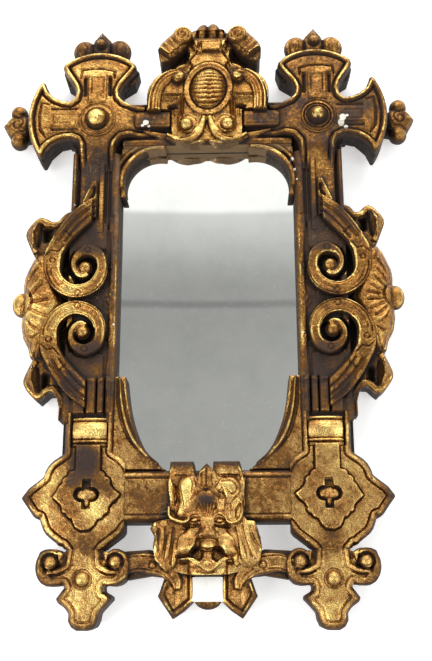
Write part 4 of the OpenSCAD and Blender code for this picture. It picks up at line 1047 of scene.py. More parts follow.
def foot_piece():
    x, z = FOOT_AT
    top = FOOT + 1.4
    outline = [(10.6, 40), (10.8, 17.6), (12.8, 15.8), (16.4, 18.4), (21.8, 19.2), (27, 16.8), (29.2, 10.8),
        (28.8, 3.4), (26.4, -1.1), (22.2, -4.2), (16.4, -3.6), (12, -3.6), (11.2, -5), (13.2, -7.4),
        (16.2, -11.4), (15.2, -13.8), (10.6, -17), (8, -20.4), (8.2, -24.8), (6.2, -28.4), (2.8, -30.5),
        (-4.4, -30.5), (-8.6, -28.6), (-10.4, -24.6), (-11, -20.4), (-14.4, -16.6), (-18.6, -12.2),
        (-18.2, -10.2), (-13.4, -7.4), (-13, -4.6), (-14, -3.6), (-19.8, -4.2), (-24.4, -2.4), (-27.6, 2.2),
        (-29.2, 9.2), (-27.8, 14.6), (-23.4, 17.6), (-18.6, 17), (-13, 16.8), (-11.4, 19), (-10.8, 40)]
    front = sawn_off(slab(moved(outline, FOOT_AT), 5, top, ()), (0, 0, z + 18.4), (0, 0, 1))
    piece = carved("foot_body", [outward(front)], 0.48, 1)
    body = [(10.6, 40), (10.8, 17.6), (12, 9.6), (16, 7.6), (24, 7), (25.6, 1.2), (21, -3.8)] + outline[
        10:31] + [(-21, -3.8), (-25.6, 1.2), (-24, 7), (-16, 7.6), (-12, 9.6), (-11.2, 19), (-10.8, 40)]
    shaped(piece, moved(body, FOOT_AT), top, PLATE_RIM)
    parts = [piece]
    for s in (-1, 1):
        volute = sided(s,
            [(13, -1.8, 2.6), (18.4, -2.2, 3.8), (23.6, -0.6, 4.8), (26.6, 4.4, 5), (26.8, 10.6, 4.8),
                (24, 15.2, 4.6), (19.6, 16.6, 3.8), (16, 14.6, 3)])
        parts += [slab(moved(band_outline(volute), FOOT_AT), 8, top + 0.9, ((0.8, 1.2), (0.7, 0.4))),
            ball(x + s * 20.4, z + 10.4, top - 1.2, 4.1, 3.6, 4.1)]
    strokes = []
    for s in (-1, 1):
        strokes += [(arc(s * 20.4, 10.4, 4.8, -40, 220, 14), 0.8, 2.4),
            (sided(s, [(12.6, 12.6), (14.8, 8.6), (19, 6.2)]), 0.7, 1.3),
            (sided(s, [(11.4, 4.4), (16, 2.4), (21.4, 2.6)]), 0.6, 0.9)]
    strokes.append((arc(0, 0, 5.8, 0, 360, 20), 0.5, 0.7))
    return carved("foot_right", parts, 0.46, 1, strokes, FOOT_AT)


def foot_boss_pieces():
    parts = []
    for s in (-1, 1):
        parts.append(ball(s * FOOT_AT[0], FOOT_AT[1], FOOT - 0.4, 5.1, 4.8))
    return carved("foot_bosses", parts, 0.4, 1)


# Mask, crown, lower straps and pendant

def mask_piece():
    """A grotesque: jowls beside a broad snout and an open mouth, with folds thrown back at both sides."""
    z = CORNER_AT[1]
    at = about((0, z))
    cloak = [(-12, -14), (-24, -14.4), (-33, -16), (-36, -20.6), (-33.6, -24.8), (-30.6, -25.6),
        (-33.8, -35), (-26, -38.6), (-22, -43.4), (-14.4, -44), (-10.8, -48.8), (10.4, -48.8), (13.8, -44),
        (20, -43.4), (25, -39.4), (33.8, -33), (32, -22), (29.8, -15.9), (20.5, -15.2), (12, -14)]
    parts = [sawn(cad_copy("mask"), MASK - 1), slab(at(cloak), 12, MASK + 0.8, ((0.5, 0.7),))]
    piece = carved("mask", parts, 0.42, 0)
    modelled(piece, (0, z), MASK,
        ((-0.4, -14, 18, 6, 0, 5.6), (-0.2, -18.4, 6.4, 6, 0, 6.8), (0.1, -23.6, 6.6, 4.4, 0, 8.6),
            (-4.9, -25.4, 3.2, 2.8, 0, 6.8), (5, -25.4, 3.2, 2.8, 0, 6.8), (0.5, -30.6, 6.4, 5.2, 0, 6.6),
            (-7.6, -21.4, 6, 3.4, 0, 4.6), (7.4, -21.6, 6, 3.4, 0, 4.6), (-13, -29.2, 8.4, 8.4, 0, 6.6),
            (-14.4, -33, 6.4, 4.6, 10, 6.4), (11.6, -28, 8.4, 6.4, -20, 5.4), (12, -33, 6.6, 5.2, -16, 6.4),
            (-25, -28, 13, 19, -12, 3.6), (25, -27, 13, 18, 12, 3.6), (-33, -20.4, 4.6, 4.8, 0, 4.2),
            (-27.4, -19.4, 4.6, 5, 0, 4.4), (-32, -30.4, 3, 8, -8, 4), (-28.4, -28.6, 3.2, 11, -14, 4.8),
            (-24.2, -31, 3, 11, -13, 5.2), (-20.4, -35, 2.8, 10, -8, 4.8), (26.4, -19.4, 6, 5, 0, 4.4),
            (30.4, -27.4, 3.2, 9, 20, 4.4), (25.6, -29, 3.2, 11.6, 24, 5), (20.8, -32, 3, 11.4, 18, 5),
            (17.6, -37, 2.8, 7, 8, 4.4), (-0.2, -44, 12, 8, 0, 3), (-0.2, -42.6, 4.2, 3.6, 0, 4.4),
            (-7.6, -41.4, 5, 4, 0, 3.6), (7.6, -41.4, 5, 4, 0, 3.6)), 3.6)
    # the mouth opens on both sides of a lolling tongue, over a thin lip
    raised(piece, egg(-6.6, z - 36, 3.7, 4.1, 20), MASK - 1.6, 0.8)
    raised(piece, egg(6.4, z - 36.2, 3.8, 4.1, 20), MASK - 1.6, 0.8)
    lip = [(-17, -39.4, 1.6), (-13.4, -38.4, 2.2), (-10.6, -38.8, 2.6), (-8.2, -40.4, 2.8),
        (-5.7, -41.8, 2.8), (-3.2, -44, 2.8), (0.5, -45.8, 2.8), (4.2, -44.4, 2.8), (7.3, -41.8, 2.8),
        (10.4, -39.4, 2.6), (13.5, -38.2, 2), (16.6, -38.2, 1.4)]
    parts = [piece, slab(at(band_outline(lip, 3)), 18, MASK + 4.6, ((0.6, 1.2), (0.5, 0.5))),
        ball(0, z - 36.6, MASK - 0.8, 4, 4.4, 4.6)]
    for x, level in ((-7.8, -16.4), (8, -17)):
        parts.append(ball(x, z + level, MASK + 3.8, 3.6, 2.4, 2.2))
    piece = carved("mask", parts, 0.42, 1)
    strokes = []
    for line in (((-30.4, -21), (-31, -26), (-30.4, -34)), ((-25.8, -20), (-26, -28), (-27.4, -38)),
            ((-21, -20), (-22, -30), (-23, -42)), ((17, -20), (19, -29), (19.6, -41)),
            ((21.6, -19), (23.6, -28), (27.4, -38)), ((26.6, -20), (28.4, -26), (32.4, -33))):
        strokes.append((smooth(line), 0.75, 1.2))
    strokes += [
        # furrows beside the snout, with the edge of each jowl standing out
        (smooth([(-5.4, -24), (-6.4, -28.4), (-6.6, -32), (-9.4, -34.4)]), 0.6, 1.2),
        (smooth([(5.6, -24), (6.2, -27.6), (6.2, -31), (8.6, -34)]), 0.6, 1),
        (smooth([(-7.4, -25.6), (-8.2, -30), (-10.4, -34)]), 0.6, -0.8),
        (smooth([(-19, -37.6), (-14, -38), (-9.6, -36)]), 0.7, 1.2),
        (smooth([(9.4, -36.4), (13.4, -38), (18, -36.4)]), 0.7, 1.1),
        (smooth([(-19.6, -33), (-18.4, -26), (-14.4, -22.4)]), 0.7, 0.9),
        (smooth([(18.4, -33), (17, -26.6), (13, -22.6)]), 0.6, 0.8),
        # eyes under arched brows
        ([(-15, -18.2), (-11.3, -19.8), (-7, -19.4), (-4.5, -18.6)], 0.6, 0.9),
        ([(4.9, -18.8), (9.2, -20), (14, -19.2)], 0.6, 0.9),
        (smooth([(-14, -16.6), (-10.6, -12.4), (-6, -11.6), (-3.6, -14)], 3), 0.7, -1),
        (smooth([(3.8, -14.6), (6.4, -11.8), (9.8, -12), (12, -15)], 3), 0.7, -1),
        ([(-10.8, -16.4), (-7.8, -17.2), (-5, -15.8)], 0.5, 1.7),
        ([(5.2, -16.6), (8, -17.6), (10.8, -16.4)], 0.5, 1.7),
        (smooth([(-11, -15.4), (-8, -13.8), (-5, -14.6)], 3), 0.45, 0.9),
        (smooth([(5.2, -15.2), (7.8, -14.2), (10.8, -15.4)], 3), 0.45, 0.9), ([(-3.6, -25.8)], 0.8, 1.2),
        ([(3.6, -25.9)], 0.8, 1.2), ([(0, -34.6), (0.2, -39)], 0.5, 0.6),
        ([(-3.4, -32.8), (0.4, -33.6), (4.2, -32.8)], 0.5, 1.2), ([(-2.6, -17.4), (-1.8, -20.6)], 0.5, 0.5),
        ([(2.2, -17.4), (1.6, -20.6)], 0.5, 0.5), ([(-18.2, -41.4), (-12, -41.6), (-11.9, -48)], 0.6, 1.1),
        ([(18, -41.6), (12.4, -41.6), (12, -48)], 0.6, 1.1),
        ([(-6, -47), (-0.2, -48), (6, -46.6)], 0.5, 0.7), ([(-1.2, -41.4), (-1, -44)], 0.4, 0.6),
        ([(1.6, -41.4), (1.4, -44)], 0.4, 0.6)]
    cut(piece, strokes, (0, z))
    return piece


def crown_piece():
    """Leaves over the grotesque's brow, with tabs that stand over the sight edge."""
    z = CORNER_AT[1]
    at = about((0, z))
    leaf = [(-0.4, 20), (-4.6, 15.6), (-7.6, 10.4), (-6.4, 5.4), (-1.3, 2.6), (4.3, 3.8), (8.2, 10.3),
        (4.6, 15.6)]
    parts = [slab(at([(-25, 9), (-23.8, 22), (-8.8, 22), (-7, 10)]), 12.6, 25.4, ((0.9, 1.4), (1.2, 0.6))),
        slab(at([(3.6, 10), (3.6, 22), (20.8, 22), (24, 9)]), 12.6, 25.4, ((0.9, 1.4), (1.2, 0.6))),
        slab(at([(-25.4, 11), (-24.4, 2), (-23.4, -4), (-24, -12), (-20, -17), (20, -17), (23, -8),
                (23.4, 2), (24.6, 11), (12, 12.4), (-12, 12.4)]), 14, 27, ((0.7, 0.9),))]
    piece = carved("mask_crown", parts, 0.42, 0)
    modelled(piece, (0, z), 26,
        ((-16, 16.6, 7, 5.4, 0, 1.6), (12.6, 16.6, 7.6, 5.4, 0, 1.6), (-0.8, -3, 10.4, 7.4, 0, 7.2),
            (-0.4, 3.6, 9.6, 4.6, 0, 5.4), (-0.4, -11, 7, 6.4, 0, 6.6), (-9.4, -7, 4.8, 5.4, 0, 5.8),
            (8.6, -7, 4.6, 5.4, 0, 5.6), (-12.6, 1.6, 6.8, 11, 6, 7), (-15, -9, 6.4, 6.4, 0, 5.6),
            (-10.4, 7, 5.2, 6, 30, 5.4), (-23, -1, 2.6, 12, 4, 2.6), (14.4, 4, 7.6, 8, 0, 5.8),
            (18.2, -4, 5.4, 9, 6, 5.2), (12.6, -6, 6, 7.4, 0, 5.4), (15.6, -12, 6, 5.4, 0, 4.8),
            (22.8, 3, 2.6, 9, 6, 2.4), (8.6, 6.4, 5.4, 5.6, 0, 5.2)), 4)
    parts = [piece, slab(at(leaf), 20, 30, ((0.7, 0.8), (0.8, 0.5)))]
    for path in ([(-24, -7, 1.8), (-23.6, -13, 2.4), (-19.4, -15.8, 2.6), (-14.4, -16.8, 2.6),
                (-11.2, -14.6, 2.2), (-12.4, -11.6, 1.6)],
            [(21.6, -4, 1.8), (22, -10.6, 2.2), (19.6, -15.8, 2.4), (14.8, -17.4, 2.2), (12, -15.4, 2),
                (13, -11.4, 1.6)],
            [(-12.6, -14.6, 2), (-10.2, -12, 2.4), (-6.4, -11.4, 2.6), (-3.4, -14, 2.4), (-0.8, -17.2, 2.2)],
            [(-0.4, -17.2, 2.2), (3.4, -14.4, 2.4), (6.4, -11.8, 2.6), (9.8, -12.4, 2.4), (12.4, -15.4, 2)]):
        parts.append(slab(at(band_outline(path)), 22, MASK + 6.2, ((0.5, 1), (0.5, 0.5))))
    piece = carved("mask_crown", parts, 0.42, 1)
    raised(piece, at(leaf), 28.6, 1.2, dome=3)
    strokes = [([(-0.4, 17), (-0.8, 5)], 0.55, 1.1), ([(-3.6, 13.4), (-3.8, 6)], 0.5, 0.9),
        ([(3.2, 13), (3.4, 6.4)], 0.5, 0.9), (smooth([(-5.6, 8), (-4.4, 14.4), (-1.2, 18.6)]), 0.45, -0.6),
        (smooth([(6.2, 8), (4.6, 14.4), (0.6, 18.6)]), 0.45, -0.6),
        (smooth([(-10.6, -3.6), (-5, 2.2), (2, 3), (7.8, -1.4)]), 0.6, 0.9),
        # rim on the left and the hollow beside it
        (smooth([(-22.2, 7.5), (-20.4, 3.1), (-20.2, -3.1), (-22.4, -9.3)]), 0.7, -1.2),
        (smooth([(-19.4, 5), (-18.2, -1), (-18.4, -7), (-20.2, -11)]), 0.9, 1.7),
        (smooth([(-16, 5), (-14.6, -2), (-13.6, -8.6)]), 0.7, -0.7),
        (smooth([(-9.4, 2), (-8.6, 6.6), (-10, 10)]), 0.5, 0.8),
        # curls of the mane
        (smooth([(9.4, 8.4), (14, 9.2), (18.2, 6.6), (18.6, 2), (15.4, 0.2), (12.8, 2.6)]), 0.6, 1.1),
        (smooth([(20.4, 0.4), (17.4, -2), (14.8, -6), (15.4, -10)]), 0.6, 1.1),
        (smooth([(9.8, 1), (11.6, -3.4), (11.2, -8.4)]), 0.6, 1),
        (smooth([(20.4, -6), (18.4, -9.4), (18.2, -14)]), 0.7, 1.4), ([(12.8, -9.6)], 0.9, 1),
        ([(9.4, 4), (10, -1.6)], 0.5, 0.7), (smooth([(19.2, -2), (21.6, -6), (20.8, -12)]), 0.6, -0.9),
        ([(-19, 19), (-12.6, 19.4)], 0.6, 0.6), ([(8.8, 19.4), (17.6, 19)], 0.6, 0.6),
        ([(-20, 12.4), (-11.6, 12)], 0.7, 1), ([(9.6, 12.4), (21, 12.4)], 0.7, 1)]
    for x0, x1 in ((-5.4, -2.2), (-3, -1.2), (-0.8, -0.3), (1.6, 0.6), (4, 1.6), (6, 2.6)):
        strokes.append(([(x0, -5.6), (x1, -15)], 0.5, 0.9))
    cut(piece, strokes, (0, z))
    return piece


def strap_low_piece():
    """A strap that comes in from the foot's volute and bends down over a pointed drop."""
    z = FOOT_AT[1]
    at = about((0, z))
    h = STRAP + 3.6
    drop = [(10.4, 10), (9.2, 0), (8.8, -13.6), (14.9, -19.4), (21.6, -23.8), (26.2, -16.4), (31, -9.9),
        (28.2, -5.2), (25, 2), (20, 10)]
    strap = [(56, 7.4, 9), (50, 8.6, 10), (44.6, 10, 11.4), (38.6, 9.8, 12.6), (32.2, 8.8, 12.8),
        (27, 6.8, 12), (22.6, 3.2, 9.6), (19.4, -1.6, 7.2), (18.8, -6.4, 4.2)]
    parts = [sawn(cad_copy("lower_strap_right"), STRAP - 1), slab(at(drop), 6, STRAP + 1.2, ((0.6, 0.8),)),
        slab(at(band_outline(strap)), 8, h, ((0.7, 1.1), (0.9, 0.5)))]
    piece = carved("lower_strap_right", parts, 0.46, 1)
    strokes = [(line_beside(strap, 3.9, 0.12, 0.95), 0.5, 0.9),
        (line_beside(strap, -3.9, 0.12, 0.9), 0.5, 0.9), (line_beside(strap, 2.2, 0.2, 0.4), 0.45, 0.5),
        (line_beside(strap, 1, 0.6, 0.98), 0.5, 0.8), (arc(34.4, 8.4, 2.4, 0, 360, 16), 0.5, 1),
        ([(34.4, 8.4)], 0.9, -0.7),
        # border of the drop and its sunk middle
        ([(12.2, 4), (12, -11.6), (16.2, -15.6), (21.4, -18.8)], 0.6, 1.4),
        ([(21.4, -18.8), (24.4, -13.4), (27, -9.4), (25.6, -5)], 0.6, 1.4),
        ([(20.2, -9.6), (20.6, -15)], 1.8, 1), ([(14.8, -2), (15.2, -10)], 1, 0.9),
        ([(25, -4), (24, -9)], 1, 0.9), ([(10.8, 6), (10.6, -12.6), (15.4, -17.4)], 0.5, -0.6),
        ([(13, 7.6), (13, 5.4)], 1.5, 5)]
    cut(piece, strokes, (0, z))
    return piece


def pendant_piece():
    z = FOOT_AT[1]
    parts = [sawn(cad_copy("pendant"), STRAP - 1.4), ball(0, z - 11.6, STRAP - 6.4, 8.8, 5.2, 6.8)]
    strokes = [([(x * 0.5, z - 10), (x, z - 18)], 0.5, 0.7) for x in (-4, 0, 4)]
    return carved("pendant", parts, 0.45, 2, strokes)


# Marks of age, painted shade and painted highlights, kept on the pieces' points for the materials to read

CELL = 0.6
MAP_LOW = (-155, -390)
MAP_SIZE = (520, 820)

# Worn places as [x, z, reach across, reach along, strength], read one by one
WORN = ((82, -16, 16, 12, 1), (98, -20, 10, 14, 0.8), (70, -4, 8, 8, 0.6), (84, -40, 14, 12, 0.9),
    (66, -60, 7, 30, 0.8), (88, -62, 8, 16, 0.9), (76, -92, 10, 12, 1), (92, -70, 6, 20, 0.7),
    (78, -148, 12, 8, 0.9), (67, -125, 6, 20, 0.6), (74, -196, 10, 14, 1), (88, -212, 10, 12, 0.8),
    (66, -215, 6, 22, 0.7), (84, -176, 8, 8, 0.5), (96, -215, 6, 10, 0.7), (-72, -46, 10, 14, 0.9),
    (-86, -56, 8, 22, 0.8), (-66, -80, 6, 22, 0.7), (-80, -100, 9, 10, 0.9), (-74, -148, 10, 9, 0.9),
    (-88, -205, 10, 12, 1), (-76, -184, 8, 12, 0.7), (-66, -212, 7, 22, 0.8), (-90, -30, 10, 8, 0.5),
    (-62, -26, 10, 10, 0.7), (-1, -283, 7, 4, 0.9), (-79, -257, 10, 10, 1), (-38, -14, 14, 8, 0.7),
    (40, -14, 14, 8, 0.7), (0, -30, 40, 4, 0.6), (-52, -8, 8, 12, 0.5), (54, -8, 8, 12, 0.7),
    (-90, -332, 6, 8, 0.6), (-70, -314, 6, 8, 0.5), (66, -316, 8, 6, 0.5), (-46, -323, 12, 6, 0.8),
    (44, -322, 12, 6, 0.5), (-78, 45, 22, 10, 0.9), (78, 44, 20, 8, 0.6), (-124, -13, 8, 10, 0.3),
    (-20, 30, 8, 10, 0.5), (26, 24, 8, 12, 0.6), (-44, -279, 12, 8, 0.4), (30, -286, 10, 6, 0.3),
    (-24, -300, 8, 8, 0.4), (24, -272, 8, 6, 0.3))
# Bare white ground as [x, z, reach]
CHIPS = ((96.4, -14.6, 2.4), (95.2, -18.4, 2.2), (98.6, -21.4, 1.6), (99.6, -13.4, 1), (-43.6, -15.4, 2),
    (-46, -17.6, 1.1), (-41.4, -18.4, 0.9), (60, -44, 1.3), (61.6, -52, 1), (63, -60, 0.7), (64, -172, 0.7),
    (-63, -165, 0.8), (-92, -78, 0.8), (106, 20, 0.7))


# How dark its toning leaves each piece, and patches of it as [x, z, reach across, reach along, strength];
# values below nought lighten, some patches are painted shade and some painted highlights
TONES = {"cross_left": 0.02, "cross_right": 0.2, "cross_boss_left": 0.1, "cross_boss_right": 0.04,
    "finial_top_left": 0.22, "finial_top_right": 0.12, "finial_side": 0.14, "crest_plate": 0.02,
    "crest_shell": 0.3, "crest_cabochon": -0.3, "crest_volutes": -0.16, "crest_scroll": -0.12,
    "crest_ear_left": 0.04, "crest_ear_right": 0.1, "stile": 0.38, "rail_top": 0.3, "spandrel_top": 0.22,
    "spandrel_bottom": 0.06, "side_strap": 0.15, "side_shell": -0.06, "scroll": 0.06, "rail_bottom": 0.13,
    "lower_strap": -0.08, "plaque": 0.04, "collar": -0.12, "foot": -0.04, "corner_plate": -0.03,
    "mask": -0.16, "pendant": 0.1}
# The share of the dirt and painted shade in their hollows that pieces in good light show
LIT_HOLLOWS = {"mask": 0.55, "crest_": 0.7, "side_shell": 0.7}
TONE_AND_LIGHT_PLACES = (
    # the broad far ends of the scrolls, painted shade on the tops of the mask's tabs, and its leaf
    (-78, -111, 15, 6, 1), (-78, -184, 15, 6, 0.9), (78, -111, 13, 6, 0.6), (78, -184, 13, 6, 0.7),
    (-16, -257.4, 10, 2.6, 0.5), (12, -257.4, 10, 2.6, 0.5), (-0.4, -268, 6, 8, 0.3),
    (-13, -277, 5, 8, -0.3), (0, -303, 7, 4, 0.35), (0, -282, 8, 5, 0.15),
    # gold left on the fillets of the upper stiles, on the right cross's stem and at the ends of the straps
    (-74.6, -76, 2.4, 22, -0.7), (-83, -77, 6, 7, -0.5), (79, -45, 7, 10, -0.75), (84, -76, 5, 9, -0.4),
    (-67.6, -180, 2.2, 40, -0.35), (86, -62, 3, 14, -0.5), (64.6, -110, 2.4, 40, -0.3),
    (-88, -58, 3, 16, -0.4),
    # bright bands of the left scrolls, painted highlights on its shell and on the left plaque's bright side
    (-90, -140, 14, 9, -0.35), (-94, -158, 16, 12, -0.45), (-104, -128, 6, 10, -0.3),
    (-122, -150, 9, 22, -0.3), (-71, -286, 5, 8, -0.4), (-96, -268, 6, 8, -0.3), (-88, -340, 8, 10, -0.2),
    (-104, -285, 5, 8, -0.3),
    # dark grounds between them
    (-70, -70, 2.4, 30, 0.4), (-80, -52, 5, 12, 0.3), (70, -80, 3, 30, 0.3), (122, 0, 14, 22, 0.3),
    (78, 44, 24, 10, 0.12), (78, -44, 16, 16, 0.25), (-78, -44, 16, 16, 0.2), (-78, -95, 22, 22, 0.2),
    (78, -95, 20, 22, 0.2), (100, -185, 14, 12, 0.2), (-100, -185, 14, 12, 0.2), (104, -8, 14, 16, 0.25),
    (66, -6, 12, 12, 0.2), (110, 62, 20, 10, 0.1),
    # dark over the left plaque's neck and beside it, and at both waists, then lighter and darker spots,
    # painted highlights on the collars' right sides among them
    (-79, -257, 9, 10, 1.2), (-67, -273, 8, 6, 0.8), (-87, -269, 6, 5, 0.5), (-78, -308, 8, 9, 0.5),
    (76, -309, 8, 8, 0.55), (52, -262, 12, 8, 0.35), (-40, -282, 14, 12, 0.12), (116, -280, 6, 10, 0.3),
    (-117, -280, 5, 9, 0.3), (-102, -298, 8, 10, -0.5), (-104, -266, 8, 12, -0.5), (-66, -336, 9, 18, -0.5),
    (-72, -290, 8, 8, -0.4), (72, -350, 10, 10, -0.4), (-15, -280, 5, 9, -0.5), (86, -240, 6, 8, -0.5),
    (-72, -240, 6, 8, -0.4), (98, -262, 10, 10, -0.2), (-16, -259, 9, 5, 0.35), (13, -259, 9, 5, 0.35),
    (-1, -283, 7, 4.5, 0.5), (-78, -6, 20, 12, -0.1), (-80, 24, 20, 8, -0.25), (-118, -12, 6, 20, -0.2),
    (30, 4, 8, 14, -0.3), (0, -24, 20, 8, -0.15), (95, -88, 10, 18, 0.3), (-95, -88, 10, 18, 0.3),
    (92, -208, 12, 18, 0.3), (-92, -208, 12, 18, 0.3), (64, -176, 5, 12, -0.3), (-62, -176, 5, 12, -0.3),
    (80, -136, 18, 6, -0.15), (-80, -136, 18, 6, -0.15), (125, -112, 6, 12, -0.3),
    (124, -194, 6, 10, -0.2))


def grown(field, cells):
    for _ in range(cells):
        wide = field.copy()
        for axis in (0, 1):
            for step in (-1, 1):
                wide = np.maximum(wide, np.roll(field, step, axis))
        field = wide
    return field


def blurred(field, cells):
    for axis in (0, 1):
        for _ in range(2):
            total = np.cumsum(np.insert(field, 0, 0, axis=axis), axis=axis, dtype=np.float64)
            mean = (np.roll(total, -2 * cells - 1, axis) - total) / (2 * cells + 1)
            field = np.roll(mean, cells, axis)
            field = field[:-1] if axis == 0 else field[:, :-1]
    return field


def height_map(pieces):
    field = np.zeros(MAP_SIZE, np.float32)
    for piece in pieces:
        co = spots(piece)
        i, j = ((co[:, (0, 2)] - MAP_LOW) / CELL).astype(int).T
        np.maximum.at(field, (i, j), -co[:, 1])
    return grown(field, 1)


def mark(piece, name, values):
    layer = piece.data.attributes.new(name, "FLOAT", "POINT")
    layer.data.foreach_set("value", values.astype(np.float32))


def faded(x, z, across, along):
    """One at the middle of a place, and less and less away from it."""
    return np.exp(-(x / across) ** 2 - (z / along) ** 2)


def mark_age_and_light(pieces):
    # the mean height close by and further off, the tops close by, and the share that isn't open air
    field = height_map(pieces)
    near, far, top = blurred(field, 3), blurred(field, 9), blurred(grown(field, 5), 2)
    solid = blurred((field > 4) * 1, 7)
    for piece in pieces:
        co = spots(piece)
        x, h, z = co[:, 0], -co[:, 1], co[:, 2]
        i, j = ((co[:, (0, 2)] - MAP_LOW) / CELL).astype(int).T
        # hollow: dirt in the recesses and painted shade there, darker the deeper they sink below their
        # surroundings
        hollow = held((near[i, j] - h - 0.25) / 2.2)
        hollow = np.maximum(hollow, held((far[i, j] - h - 0.8) / 5))
        hollow = np.maximum(hollow, 0.9 * held((top[i, j] - h - 2) / 6))
        sight = held((SIGHT_HALF - abs(x)) / 2) * (z < SIGHT_TOP + 0.8) * (z > SIGHT_TOP - 4)
        for start, share in LIT_HOLLOWS.items():
            if piece.name.startswith(start):
                hollow *= share
        mark(piece, "hollow", hollow * (1 - 0.9 * sight))
        # dust has settled on the left stile's inner edge as well
        ledge = (held((65.4 + x) / 1.6) * held((-61 - x) / 1.2)
            * held((-36 - z) / 8) * held((z + 226) / 20))
        mark(piece, "dust",
            np.maximum(sight, (0.62 - 0.2 * (z < -100)) * ledge * piece.name.startswith("stile")))
        # rub: raised faces that look to the front, rubbed bright and given painted highlights
        proud = h - near[i, j]
        front = -facing(piece)[:, 1]
        mark(piece, "rub", held(proud / 1.1) * np.clip(1.5 - proud / 3, 0.3, 1) * held(front * 2 - 0.6))
        mark(piece, "back", front < -0.5)
        # flank: faces that turn away from the front, for the dark side walls and for painted shade on outer
        # slopes
        mark(piece, "flank", held((0.82 - front) / 0.5))
        low = held((-222 - z) / 12)
        mark(piece, "low", low)
        # rim: a band just inside the outlines of the lower pieces, darkened as wear and as painted shade on
        # their outer slopes
        mark(piece, "rim", held(2.4 - 2.4 * solid[i, j]) * low)
        worn = np.zeros(len(co))
        for px, pz, across, along, strength in WORN:
            worn = np.maximum(worn, strength * faded(x - px, z - pz, across, along))
        mark(piece, "worn", worn)
        bare = np.zeros(len(co))
        for px, pz, reach in CHIPS:
            bare = np.maximum(bare, held(1.5 - np.hypot(x - px, z - pz) / reach))
        mark(piece, "chip", bare * (front > 0.4))
        # patina: toning by piece and by place, with places of painted shade and painted highlights among them
        dark = max((depth for start, depth in TONES.items() if piece.name.startswith(start)), key=abs,
            default=0)
        patina = np.full(len(co), float(dark))
        for px, pz, across, along, strength in TONE_AND_LIGHT_PLACES:
            patina += strength * faded(x - px, z - pz, across, along)
        mark(piece, "patina", patina)


# Materials

def tone(red, green, blue):
    """A colour as the screen shows it, turned into the linear one that nodes take."""
    shares = (c / 255 for c in (red, green, blue))
    return (*(c / 12.92 if c < 0.04045 else ((c + 0.055) / 1.055) ** 2.4 for c in shares), 1.0)


class Value:
    """A number on a socket: an expression on values adds its Math nodes."""

    def __init__(self, paint, socket):
        self.paint, self.socket = paint, socket

    def math(self, operation, first, second=0.0):
        return self.paint.node("ShaderNodeMath", {"operation": operation}, {0: first, 1: second})

    def __add__(self, other):
        return self.math("ADD", self, other)

    def __sub__(self, other):
        return self.math("SUBTRACT", self, other)

    def __mul__(self, other):
        return self.math("MULTIPLY", self, other)

    def __rsub__(self, other):
        return self.math("SUBTRACT", other, self)

    __radd__ = __add__
    __rmul__ = __mul__

    def between(self, low, high):
        """Nought below low, one above high, with a soft step between."""
        return self.paint.node("ShaderNodeMapRange", {"interpolation_type": "SMOOTHSTEP"},
            {"Value": self, "From Min": low, "From Max": high})


class Paint:
    """A material's nodes."""

    def __init__(self, name, world=None):
        self.material = world or bpy.data.materials.new(name)
        self.material.use_nodes = True
        self.tree = self.material.node_tree
        self.tree.nodes.clear()

    def node(self, kind, settings=(), sockets=(), out=0):
        node = self.tree.nodes.new(kind)
        for key, value in dict(settings).items():
            setattr(node, key, value)
        for key, value in dict(sockets).items():
            if isinstance(value, Value):
                self.tree.links.new(value.socket, node.inputs[key])
            else:
                node.inputs[key].default_value = value
        return Value(self, node.outputs[out]) if len(node.outputs) else None

    def mark(self, name):
        return self.node("ShaderNodeAttribute", {"attribute_name": name}, out="Fac")

    def place(self):
        return self.node("ShaderNodeTexCoord", out="Object")

    def noise(self, scale, detail=3, rough=0.55, at=None):
        return self.node("ShaderNodeTexNoise", {},
            {"Vector": at or self.place(), "Scale": scale, "Detail": detail, "Roughness": rough})

    def blend(self, share, first, second):
        return self.node("ShaderNodeMix", {"data_type": "RGBA"}, {0: share, 6: first, 7: second}, 2)

    def bump(self, height, strength, depth, normal=None):
        sockets = {"Height": height, "Strength": strength, "Distance": depth}
        if normal:
            sockets["Normal"] = normal
        return self.node("ShaderNodeBump", {}, sockets)

    def finish(self, **sockets):
        shader = self.node("ShaderNodeBsdfPrincipled", {},
            {k.replace("_", " "): v for k, v in sockets.items()})
        self.node("ShaderNodeOutputMaterial", {}, {"Surface": shader})
        return self.material


GOLD = tone(172, 128, 68)
LOW_GOLD = tone(184, 142, 84)
BOLE = tone(178, 112, 52)
PALE_GOLD = tone(248, 218, 132)
DEEP_GOLD = tone(112, 76, 40)
TONED = tone(84, 58, 36)
BROWN = tone(50, 33, 22)
PLUM = tone(51, 34, 27)
BLACK_BROWN = tone(34, 23, 16)
DUST = tone(138, 110, 76)
OLD_WOOD = tone(128, 96, 64)
STAINED_WOOD = tone(82, 58, 38)
GESSO = tone(226, 220, 206)


